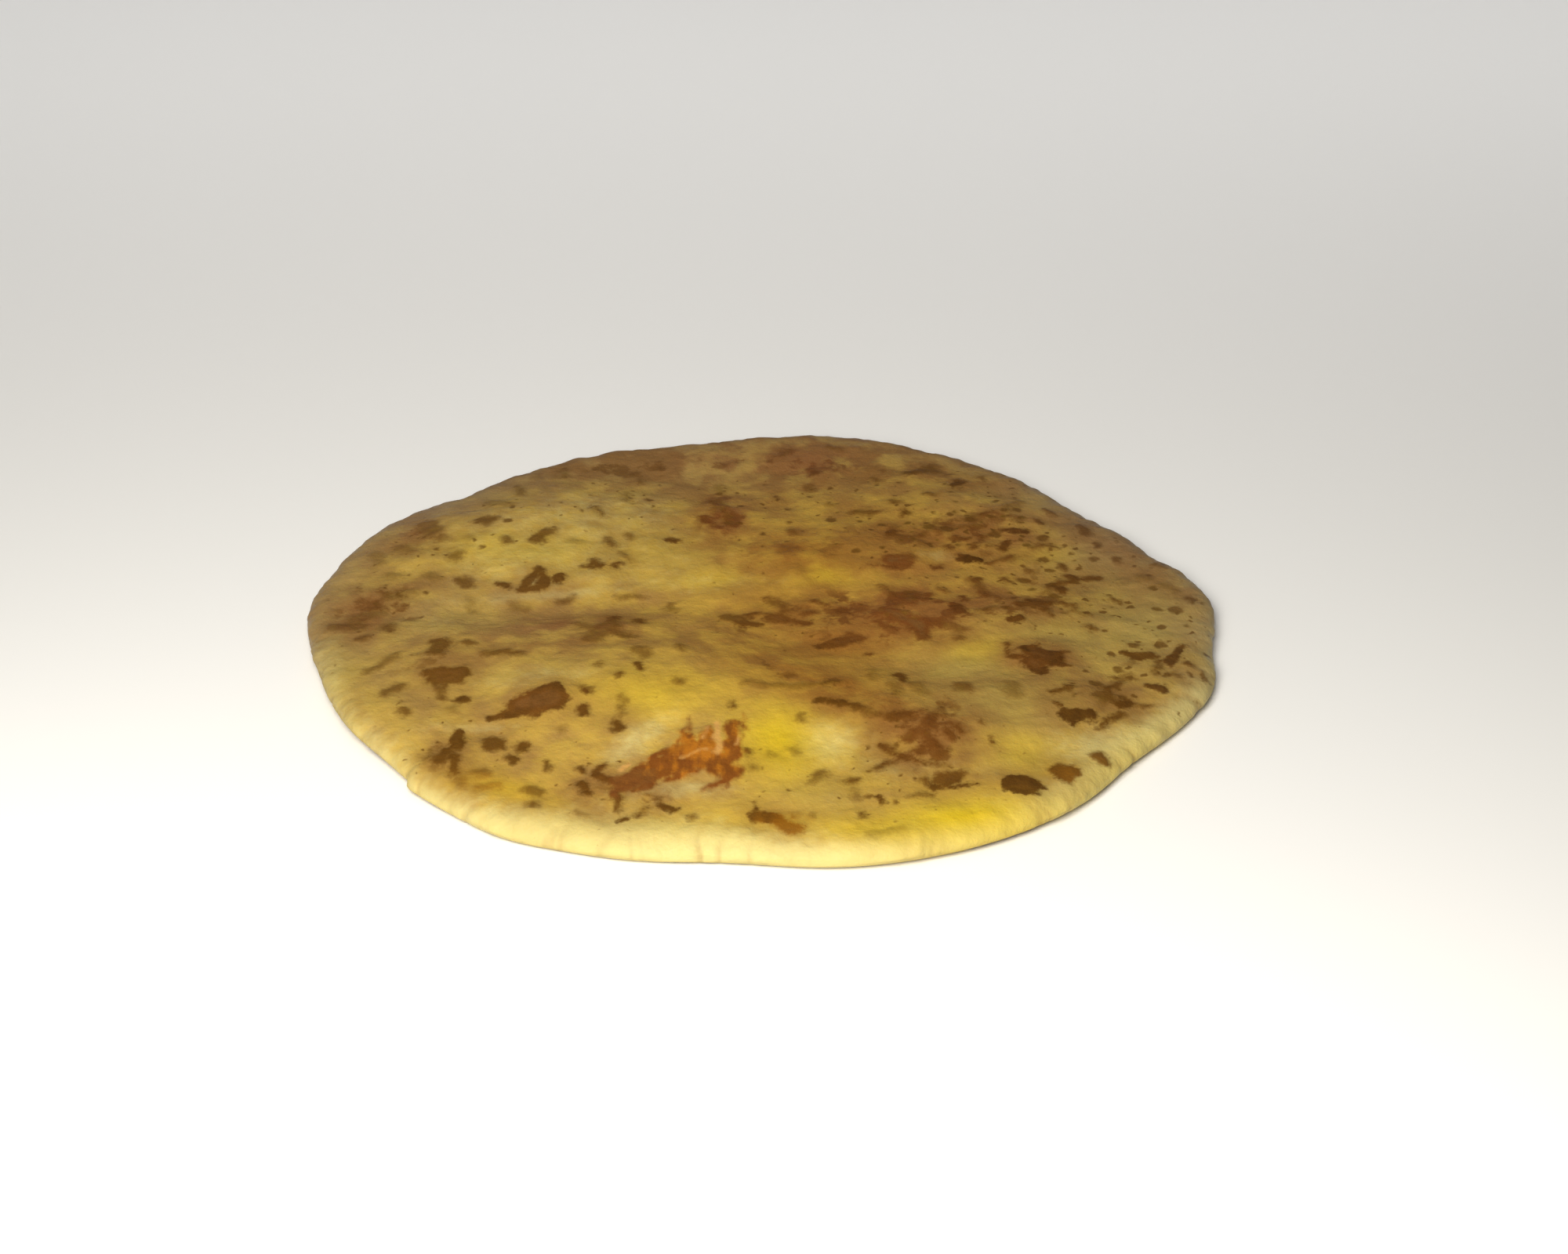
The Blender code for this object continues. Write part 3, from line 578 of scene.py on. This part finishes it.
def waves(x, y, length, seed):
    """Unevenness of about unit size: plane sine waves in all directions, 0.7 to 1.5 lengths long, summed."""
    draw = np.random.default_rng(seed)
    total = np.zeros_like(x)
    for heading, stretch, phase in draw.random((WAVE_COUNT, 3)):
        wave_number = 2 * math.pi / (length * (0.7 + 0.8 * stretch))
        along = x * math.cos(math.pi * heading) + y * math.sin(math.pi * heading)
        total += np.sin(wave_number * along + 2 * math.pi * phase)
    return total * math.sqrt(2 / WAVE_COUNT)


def layered_waves(x, y, layers):
    """Waves of several lengths: the sum of each layer's height times its waves."""
    return sum(height * waves(x, y, length, seed) for height, length, seed in layers)


def stroke_fields(x, y, strokes):
    """How far inside a stroke each point lies, in mm, how dark the stroke is there, and the haze round it.

    A stroke's half width runs in a straight line from one end to the other. The distance inside is that
    half width less the distance to the stroke's line, and the largest of all strokes counts. Darkness is
    the mean of the strokes' own, each weighted by e to the power of its distance inside over
    DARKNESS_REACH. Haze is one less the product of one less a bell of each stroke's distance outside.
    """
    inside = np.full_like(x, FAR_OUTSIDE)
    weight = np.full_like(x, 1e-9)
    darkness = np.zeros_like(x)
    clear = np.ones_like(x)
    for x1, y1, x2, y2, half1, half2, dark in strokes:
        dx, dy = x2 - x1, y2 - y1
        share = np.clip(((x - x1) * dx + (y - y1) * dy) / (dx * dx + dy * dy), 0.0, 1.0)
        gap = np.hypot(x - x1 - share * dx, y - y1 - share * dy)
        here = MARK_SWELL + half1 + (half2 - half1) * share - gap
        inside = np.maximum(inside, here)
        pull = np.exp(np.maximum(here, FAR_OUTSIDE) / DARKNESS_REACH)
        weight += pull
        darkness += dark * pull
        strength = HAZE_LEAST + HAZE_IF_DARK * dark
        clear *= 1.0 - strength * bell(np.maximum(-here, 0.0), HAZE_REACH)
    return inside, darkness / weight, 1.0 - clear


def zone_field(x, y, zones):
    """Strength of the broad tints: one less the product of one less each zone's bell."""
    left = np.ones_like(x)
    for *oval, strength in zones:
        left *= 1.0 - strength * oval_bell(x, y, *oval)
    return 1.0 - left


x_mm, y_mm = 1000 * x, 1000 * y
ragged_x = x_mm + layered_waves(x_mm, y_mm, RAGGED_ALONG_X)
ragged_y = y_mm + layered_waves(x_mm, y_mm, RAGGED_ALONG_Y)
on_top = smooth_share(1.0 - below) * smooth_share(roll * 3.0)
all_marks = MARKS_BACK_LEFT + MARKS_BACK_RIGHT + MARKS_FRONT_LEFT + MARKS_FRONT_RIGHT
toast, darkness, haze = stroke_fields(ragged_x, ragged_y, all_marks)
butter, fried, _ = stroke_fields(ragged_x, ragged_y, BUTTERED)
streak, _, _ = stroke_fields(ragged_x, ragged_y, STREAKS)
toast = np.where(on_top > 0.5, toast, FAR_OUTSIDE)
butter = np.where(on_top > 0.5, butter, FAR_OUTSIDE)
streak = np.where(on_top > 0.5, streak, FAR_OUTSIDE)


# The fine relief, in mm. Toasted islands stand a little proud, as they are the tops that touched the iron.
# The dough between them is finely uneven, and the rim is creased all round where it was pressed thin.
DOUGH_WAVES = ((0.11, 13.0, 31), (0.06, 6.0, 32), (0.028, 2.6, 33))  # height, length, seed
RIM_WAVES = ((0.16, 17.0, 34), (0.07, 5.0, 35))
RIM_WAVES_REACH = 4.0
MARK_RISE = 0.16
BUTTERED_RISE = 0.14
RISE_WIDTH = 1.6
CREASE_COUNT = 190
CREASE_DEPTH = 0.22
CREASE_REACH = 3.2
UNDER_DENT_DEPTH = 0.14
UNDER_DENT_LENGTH = 8.0
UNDER_DENT_CLEAR_OF_RIM = 8.0


def rim_creases(angle):
    """How deep the rim is creased, from 0 to 1: a narrow bell for each fold, at uneven steps."""
    draw = np.random.default_rng(5)
    table_angle = np.linspace(0.0, 360.0, 14401)
    depth = np.zeros_like(table_angle)
    for start, size, width in draw.random((CREASE_COUNT, 3)):
        fold = bell(turn_between(table_angle, 360 * start), 0.25 + 0.3 * width)
        depth = np.maximum(depth, (0.3 + 0.7 * size) * fold)
    return np.interp(angle % 360.0, table_angle, depth)


from_rim_mm = 1000 * from_rim
crease_angle = angle + 0.35 * waves(x_mm, y_mm, 9.0, 21)
crease = rim_creases(crease_angle) * np.exp(-from_rim_mm / CREASE_REACH)
crease *= 0.6 + 0.4 * waves(x_mm, y_mm, 14.0, 22)
crease = np.clip(crease, 0.0, 1.0) * np.where(below > 0, roll < 0.75, True)
fine = layered_waves(x_mm, y_mm, DOUGH_WAVES)
fine += MARK_RISE * smooth_share((toast + 0.9) / RISE_WIDTH)
fine += BUTTERED_RISE * smooth_share((butter + 0.6) / RISE_WIDTH)
rim_wobble = layered_waves(x_mm, y_mm, RIM_WAVES) * np.exp(-from_rim_mm / RIM_WAVES_REACH)
fine = fine * on_top + rim_wobble * (1.0 - below) - CREASE_DEPTH * crease
dented = smooth_share(0.5 + 0.5 * waves(x_mm, y_mm, UNDER_DENT_LENGTH, 36))
dented *= below * smooth_share(from_rim_mm / UNDER_DENT_CLEAR_OF_RIM)

# The relief pushes the top up, the roll outwards and the underside up into the bread.
lean = np.sqrt(np.clip(1.0 - roll**2, 0.0, 1.0))
x += 0.001 * fine * lean * np.cos(np.radians(angle))
y += 0.001 * fine * lean * np.sin(np.radians(angle))
z += 0.001 * (np.where(below > 0, 0.0, fine * roll) + UNDER_DENT_DEPTH * dented)

# The bread stays in the box of the CAD solid.
for values, low, high in ((x, cad_low.x, cad_high.x), (y, cad_low.y, cad_high.y)):
    values[:] = low + (values - values.min()) * (high - low) / (values.max() - values.min())
z[:] = np.maximum(z, 0.0) * min(1.0, cad_high.z / z.max())


def bread_faces():
    """Quads of the square grid, then of each ring with the next, and a fan under the middle."""
    side = 2 * GRID_STEPS + 1
    corner = (np.arange(side - 1)[:, None] * side + np.arange(side - 1)).ravel()
    quads = [np.column_stack((corner, corner + side, corner + side + 1, corner + 1))]
    around = len(edge)
    rings = [edge]
    first = side * side
    while first + around < len(x):
        rings.append(np.arange(first, first + around))
        first += around
    for inner, outer in zip(rings, rings[1:]):
        quads.append(np.column_stack((inner, outer, np.roll(outer, -1), np.roll(inner, -1))))
    last = rings[-1]
    fan = np.column_stack((np.full(around, len(x) - 1), np.roll(last, -1), last))
    return np.concatenate(quads), fan


def make_mesh(name, points, quads, fan):
    data = bpy.data.meshes.new(name)
    data.from_pydata(points.tolist(), [], quads.tolist() + fan.tolist())
    data.shade_smooth()
    return data


quads, fan = bread_faces()
bread_data = make_mesh("bread", np.column_stack((x, y, z)), quads, fan)
bread = bpy.data.objects.new("bread", bread_data)
bpy.context.scene.collection.objects.link(bread)


# The rim is cream in a narrow band and in a wide faint one. Both are drawn strongest at its front right and
# faintest at its back, as painted light from the front lamp. At the back it is greyed as painted sheen.
RIM_PALE_REACH = 2.4  # mm in from the rim, as the next two
RIM_FAINT_REACH = 14.0
RIM_SHEEN_REACH = 8.0
RIM_FAINT_SHARE = 0.36
# The side the front lamp lights most: the rim's cream is painted stronger towards it, as painted light.
LIT_SIDE = (0.34, -0.94)
PALE_LEAST = 0.05


def store(name, values):
    """A number for each point of the bread, which its material reads by this name."""
    attribute = bread_data.attributes.new(name, "FLOAT", "POINT")
    attribute.data.foreach_set("value", values.astype(np.float32))


towards_lit_side = 0.5 + 0.5 * (LIT_SIDE[0] * x + LIT_SIDE[1] * y) / RIM_RADIUS
rim_cream_and_lit = np.exp(-from_rim_mm / RIM_PALE_REACH) + RIM_FAINT_SHARE * np.exp(-from_rim_mm / RIM_FAINT_REACH)
rim_cream_and_lit *= PALE_LEAST + (1.0 - PALE_LEAST) * np.clip(towards_lit_side, 0.0, 1.0)**1.6
# The back rim is greyed in a band as painted sheen.
rim_sheen = np.exp(-from_rim_mm / RIM_SHEEN_REACH) * smooth_share(0.6 + 0.8 * y / RIM_RADIUS)
store("toast", toast)
store("haze", haze * on_top)
store("streak", streak)
store("darkness", darkness)
store("butter", butter)
store("fried", fried)
store("yellow_and_lit", zone_field(x_mm, y_mm, YELLOW_AND_LIT_ZONES))
store("brown_and_shade", zone_field(x_mm, y_mm, BROWN_AND_SHADE_ZONES))
store("red", zone_field(x_mm, y_mm, RED_ZONES))
store("amber", zone_field(x_mm, y_mm, AMBER_ZONES))
store("amber_mark", zone_field(x_mm, y_mm, AMBER_MARK_ZONES))
store("raw", zone_field(x_mm, y_mm, RAW_ZONES))
store("mottle", zone_field(x_mm, y_mm, MOTTLE_ZONES) * on_top)
store("cream_and_painted_light", np.clip(rim_cream_and_lit + zone_field(x_mm, y_mm, PALE_AND_HIGHLIGHT_ZONES), 0.0, 1.0))
store("sheen_and_shade", 1.0 - (1.0 - rim_sheen) * (1.0 - zone_field(x_mm, y_mm, SHEEN_AND_SHADE_ZONES)))
store("flecks", zone_field(x_mm, y_mm, FLECK_ZONES) * on_top)
store("crease", crease)
store("underside", below * smooth_share(from_rim_mm / 3.0))


# The crust. Dough with turmeric in it, fried in a little butter: cream where it stayed raw-looking, golden
# to tan round the marks, and brown to near black in them, with a soft greasy sheen and fine pores. Some of
# the cream and yellow is painted light on the lit front, and some of the grey and brown is painted sheen and
# shade at the back.
CREAM = (0.57, 0.475, 0.185)
DOUGH = (0.49, 0.315, 0.055)
DULL = (0.350, 0.208, 0.053)
RAW = (0.320, 0.234, 0.061)
SHEEN_AND_SHADE_GREY = (0.225, 0.155, 0.098)
AMBER_DOUGH = (0.350, 0.176, 0.017)
YELLOW = (0.56, 0.39, 0.016)
HAZE = (0.205, 0.098, 0.022)
RED_HAZE = (0.215, 0.082, 0.024)
AMBER_HAZE = (0.250, 0.099, 0.011)
BROWNED = (0.130, 0.055, 0.006)
REDDENED = (0.146, 0.045, 0.008)
MAUVE = (0.145, 0.060, 0.014)
OLIVE = (0.122, 0.061, 0.004)
TOASTED = (0.105, 0.042, 0.003)
SCORCHED = (0.056, 0.019, 0.001)
AMBER_MARK = (0.205, 0.074, 0.003)
ORANGE = (0.34, 0.112, 0.007)
RED_BROWN = (0.165, 0.045, 0.005)
PINKISH = (0.57, 0.30, 0.08)

BROAD = (22.0, 1.0, 2.0)  # size of the lumps in mm, seed, detail, as all down to PORES
LUMPY = (7.0, 2.0, 3.0)
PATCHY = (4.8, 5.0, 4.0)
GRAINY = (2.2, 3.0, 3.0)
FINE = (0.8, 4.0, 2.0)
COMBED = (1.9, 6.0, 4.0)
UNDER_CLOUDS = (9.0, 8.0, 3.0)
GREASE = (11.0, 9.0, 2.0)
PORES = (0.55, 12.0, 3.0)
COMB_STRETCH = (1.2, 0.55, 1.0)

AMBER_SHARE = 0.75
RAW_SHARE = 0.85
SHEEN_AND_SHADE_SHARE = 0.85
GREY_VEIL_SHARE = 0.22
HAZE_SHARE = 0.6
MOST_HAZE = 0.9
FLECKS = ((4.8, 0.85), (2.8, 0.7))  # size of a cell in mm, share of the cells that hold a fleck
FLECK_REACH = 0.3
SHAKE = (1.3, 2.2, 20.0)  # how far in mm, size of the noise in mm, seed
BUBBLE_MM = 2.6
DULL_ROUGHNESS = 0.56
GREASY_ROUGHNESS = 0.40
TOASTED_ROUGHER = 0.14
SHINE = 0.08
SCATTER_SHARE = 0.12
SCATTER_RED_GREEN_BLUE = (1.0, 0.55, 0.18)
SCATTER_REACH = 0.0022
BUMP_STRENGTH = 0.45
BUMP_HEIGHT = 0.0006


class NodeDesk:
    """Short ways to add a node to one material and to link it."""

    def __init__(self, tree):
        self.tree = tree
        self.coords = tree.nodes.new("ShaderNodeTexCoord").outputs["Object"]

    def feed(self, socket, value):
        if isinstance(value, bpy.types.NodeSocket):
            self.tree.links.new(value, socket)
        elif isinstance(value, tuple) and len(value) == 3 and socket.type == "RGBA":
            socket.default_value = (*value, 1.0)
        else:
            socket.default_value = value

    def number(self, name):
        node = self.tree.nodes.new("ShaderNodeAttribute")
        node.attribute_name = name
        return node.outputs["Fac"]

    def maths(self, operation, first, second, clamp=False):
        node = self.tree.nodes.new("ShaderNodeMath")
        node.operation = operation
        node.use_clamp = clamp
        self.feed(node.inputs[0], first)
        self.feed(node.inputs[1], second)
        return node.outputs[0]

    def plus(self, first, second):
        return self.maths("ADD", first, second)

    def minus(self, first, second):
        return self.maths("SUBTRACT", first, second)

    def times(self, first, second):
        return self.maths("MULTIPLY", first, second)

    def swing(self, noise, amount):
        """Noise as a push to both sides: the noise less 0.5, times the amount."""
        return self.times(self.minus(noise, 0.5), amount)

    def between(self, value, low, high, to_low=0.0, to_high=1.0):
        """to_low below low, to_high above high, with a smooth S between."""
        node = self.tree.nodes.new("ShaderNodeMapRange")
        node.interpolation_type = "SMOOTHSTEP"
        for name, given in (("Value", value), ("From Min", low), ("From Max", high)):
            self.feed(node.inputs[name], given)
        node.inputs["To Min"].default_value = to_low
        node.inputs["To Max"].default_value = to_high
        return node.outputs["Result"]

    def mix(self, share, first, second):
        node = self.tree.nodes.new("ShaderNodeMix")
        node.data_type = "RGBA"
        self.feed(node.inputs["Factor"], share)
        self.feed(node.inputs[6], first)
        self.feed(node.inputs[7], second)
        return node.outputs[2]

    def noise_node(self, size_mm, seed, detail=2.0, coords=None):
        node = self.tree.nodes.new("ShaderNodeTexNoise")
        node.noise_dimensions = "4D"
        node.inputs["W"].default_value = seed
        node.inputs["Scale"].default_value = 1000.0 / size_mm
        node.inputs["Detail"].default_value = detail
        self.feed(node.inputs["Vector"], coords or self.coords)
        return node

    def noise(self, size_mm, seed, detail, coords=None):
        """Cloudy noise from 0 to 1 round 0.5, whose lumps are of that size."""
        return self.noise_node(size_mm, seed, detail, coords).outputs["Fac"]

    def stretched(self, scale):
        node = self.tree.nodes.new("ShaderNodeMapping")
        self.feed(node.inputs["Vector"], self.coords)
        node.inputs["Scale"].default_value = scale
        return node.outputs["Vector"]

    def cells(self, size_mm, coords):
        """Cells of about that size seen from above: distance to each cell's point, and its random number."""
        node = self.tree.nodes.new("ShaderNodeTexVoronoi")
        node.voronoi_dimensions = "2D"
        node.inputs["Scale"].default_value = 1000.0 / size_mm
        self.feed(node.inputs["Vector"], coords)
        split = self.tree.nodes.new("ShaderNodeSeparateColor")
        self.feed(split.inputs[0], node.outputs["Color"])
        return node.outputs["Distance"], split.outputs[0]

    def shaken(self, by_mm, size_mm, seed):
        """Coordinates pushed by up to by_mm each way with noise, so that cells lose their regular shapes."""
        centred = self.tree.nodes.new("ShaderNodeVectorMath")
        centred.operation = "SUBTRACT"
        self.feed(centred.inputs[0], self.noise_node(size_mm, seed).outputs["Color"])
        centred.inputs[1].default_value = (0.5, 0.5, 0.5)
        push = self.tree.nodes.new("ShaderNodeVectorMath")
        push.operation = "MULTIPLY_ADD"
        self.feed(push.inputs[0], centred.outputs[0])
        push.inputs[1].default_value = (0.002 * by_mm, 0.002 * by_mm, 0.002 * by_mm)
        self.feed(push.inputs[2], self.coords)
        return push.outputs[0]


def crust_material():
    material = bpy.data.materials.new("crust")
    material.use_nodes = True
    desk = NodeDesk(material.node_tree)
    between, mix, noise, number = desk.between, desk.mix, desk.noise, desk.number
    plus, minus, times, swing, maths = desk.plus, desk.minus, desk.times, desk.swing, desk.maths
    shader = material.node_tree.nodes["Principled BSDF"]

    lumpy, grainy, fine = noise(*LUMPY), noise(*GRAINY), noise(*FINE)
    red, amber, mottle, fried = number("red"), number("amber"), number("mottle"), number("fried")
    darkness, sheen_and_shade = number("darkness"), number("sheen_and_shade")

    # Dough: golden and dull in soft clouds, greenish where it was fried least, cream towards the rim. The
    # cream is also painted light along the front rim and on ridge tops.
    colour = mix(between(lumpy, 0.36, 0.66), DOUGH, DULL)
    colour = mix(times(amber, AMBER_SHARE), colour, AMBER_DOUGH)
    colour = mix(times(number("raw"), RAW_SHARE), colour, RAW)
    # Cream: pale dough, and painted light on the front rim and ridge tops.
    colour = mix(between(plus(number("cream_and_painted_light"), swing(grainy, 0.7)), 0.1, 1.0), colour, CREAM)
    # Turmeric yellow, and painted light on the front rim and the front slopes of the puffs.
    yellow_and_lit = times(number("yellow_and_lit"), between(noise(*BROAD), 0.2, 0.5, 0.75, 1.0))
    colour = mix(yellow_and_lit, colour, YELLOW)
    # Grey painted sheen at the back, and greyish painted shade in the hollow.
    colour = mix(times(sheen_and_shade, SHEEN_AND_SHADE_SHARE), colour, SHEEN_AND_SHADE_GREY)

    # A tan haze round the marks and in clouds, redder in some places and amber in others. The clouds also
    # lay painted shade over the back of the bread and the hollow behind the front hump.
    tan = mix(times(amber, 0.8), mix(red, HAZE, RED_HAZE), AMBER_HAZE)
    clouds_and_shade = times(number("brown_and_shade"), between(lumpy, 0.34, 0.62, 0.35, 1.0))
    hazy = plus(times(number("haze"), HAZE_SHARE), clouds_and_shade)
    colour = mix(maths("MINIMUM", hazy, MOST_HAZE), colour, tan)

    # Mottling: ragged brown patches that cover more of the dough the stronger their zone is.
    cover = plus(plus(noise(*PATCHY), times(mottle, 0.16)), swing(fine, 0.12))
    patch = times(between(cover, 0.59, 0.71), between(mottle, 0.05, 0.6, 0.0, 0.85))
    colour = mix(patch, colour, mix(red, BROWNED, REDDENED))

    # Flecks: small toasted tops of blisters, one in each cell, and none where the cell drew a high number.
    shaken = desk.shaken(*SHAKE)
    for size, share_kept in FLECKS:
        distance, drawn = desk.cells(size, shaken)
        reach = times(minus(times(number("flecks"), share_kept), drawn), 0.5)
        reach = maths("MINIMUM", reach, FLECK_REACH)
        fleck = between(minus(reach, distance), -0.10, 0.10, 0.0, 0.8)
        colour = mix(fleck, colour, mix(between(drawn, 0.0, 0.5), TOASTED, OLIVE))

    # Toasted islands with a ragged edge and a mauve middle. The darker one is, the sharper its edge.
    ragged = plus(plus(number("toast"), swing(grainy, 2.2)), swing(fine, 1.4))
    dark = plus(darkness, swing(grainy, 0.9))
    toasted = mix(between(dark, 0.0, 0.40), OLIVE, mix(red, TOASTED, REDDENED))
    middle = times(between(ragged, 0.9, 2.2), maths("ADD", red, 0.15, clamp=True))
    toasted = mix(middle, toasted, MAUVE)
    toasted = mix(between(number("amber_mark"), 0.3, 0.8), toasted, AMBER_MARK)
    toasted = mix(between(dark, 0.42, 0.98), toasted, SCORCHED)
    softness = between(darkness, 0.1, 0.7, 1.5, 0.55)
    island = between(maths("DIVIDE", ragged, softness), -1.0, 0.9)
    island = times(island, between(darkness, 0.0, 0.5, 0.45, 0.95))
    colour = mix(island, colour, toasted)

    # The buttered place: orange to red-brown, combed, with pinkish streaks where the dough stayed pale.
    comb = noise(*COMBED, desk.stretched(COMB_STRETCH))
    buttered = plus(number("butter"), times(minus(plus(comb, grainy), 1.0), 2.6))
    frying = mix(between(plus(fried, swing(comb, 2.6)), 0.0, 0.8), ORANGE, RED_BROWN)
    frying = mix(between(fried, 0.74, 0.84, 0.0, 0.45), frying, MAUVE)
    colour = mix(between(buttered, -0.7, 1.1, 0.0, 0.95), colour, frying)
    streaked = plus(number("streak"), swing(comb, 2.0))
    colour = mix(between(streaked, -0.6, 0.7, 0.0, 0.8), colour, PINKISH)

    # The rim is darker tan in its creases, and the underside is toasted in a net of spots. The back of
    # the bread is greyed all over, its marks too, as painted sheen.
    colour = mix(times(number("crease"), 0.4), colour, tan)
    cloudy = plus(noise(*UNDER_CLOUDS), swing(fine, 0.2))
    spots = times(between(cloudy, 0.5, 0.58), times(number("underside"), 0.85))
    colour = mix(spots, colour, TOASTED)
    # A grey veil of painted sheen over the back, marks included.
    colour = mix(times(sheen_and_shade, GREY_VEIL_SHARE), colour, SHEEN_AND_SHADE_GREY)
    desk.feed(shader.inputs["Base Color"], colour)

    # Sheen: grease lies in patches, and toasted islands are drier.
    greasy = between(noise(*GREASE), 0.4, 0.62, DULL_ROUGHNESS, GREASY_ROUGHNESS)
    dry = between(ragged, -0.3, 0.5, 0.0, TOASTED_ROUGHER)
    desk.feed(shader.inputs["Roughness"], plus(greasy, dry))
    shader.inputs["Specular IOR Level"].default_value = SHINE
    shader.inputs["Subsurface Weight"].default_value = SCATTER_SHARE
    shader.inputs["Subsurface Radius"].default_value = SCATTER_RED_GREEN_BLUE
    shader.inputs["Subsurface Scale"].default_value = SCATTER_REACH

    # Fine relief: the grain of the dough, its pores and small bubbles.
    bubbles, _ = desk.cells(BUBBLE_MM, shaken)
    height = plus(times(grainy, 0.9), times(fine, 0.42))
    height = plus(height, times(noise(*PORES), 0.22))
    height = minus(height, times(bubbles, 0.25))
    bump = material.node_tree.nodes.new("ShaderNodeBump")
    bump.inputs["Strength"].default_value = BUMP_STRENGTH
    bump.inputs["Distance"].default_value = BUMP_HEIGHT
    desk.feed(bump.inputs["Height"], height)
    desk.feed(shader.inputs["Normal"], bump.outputs["Normal"])
    return material


bread_data.materials.append(crust_material())
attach(bread, "root")
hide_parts("paratha")


low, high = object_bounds()
{"cad": [list(cad_low), list(cad_high)], "visual": [list(low), list(high)]}
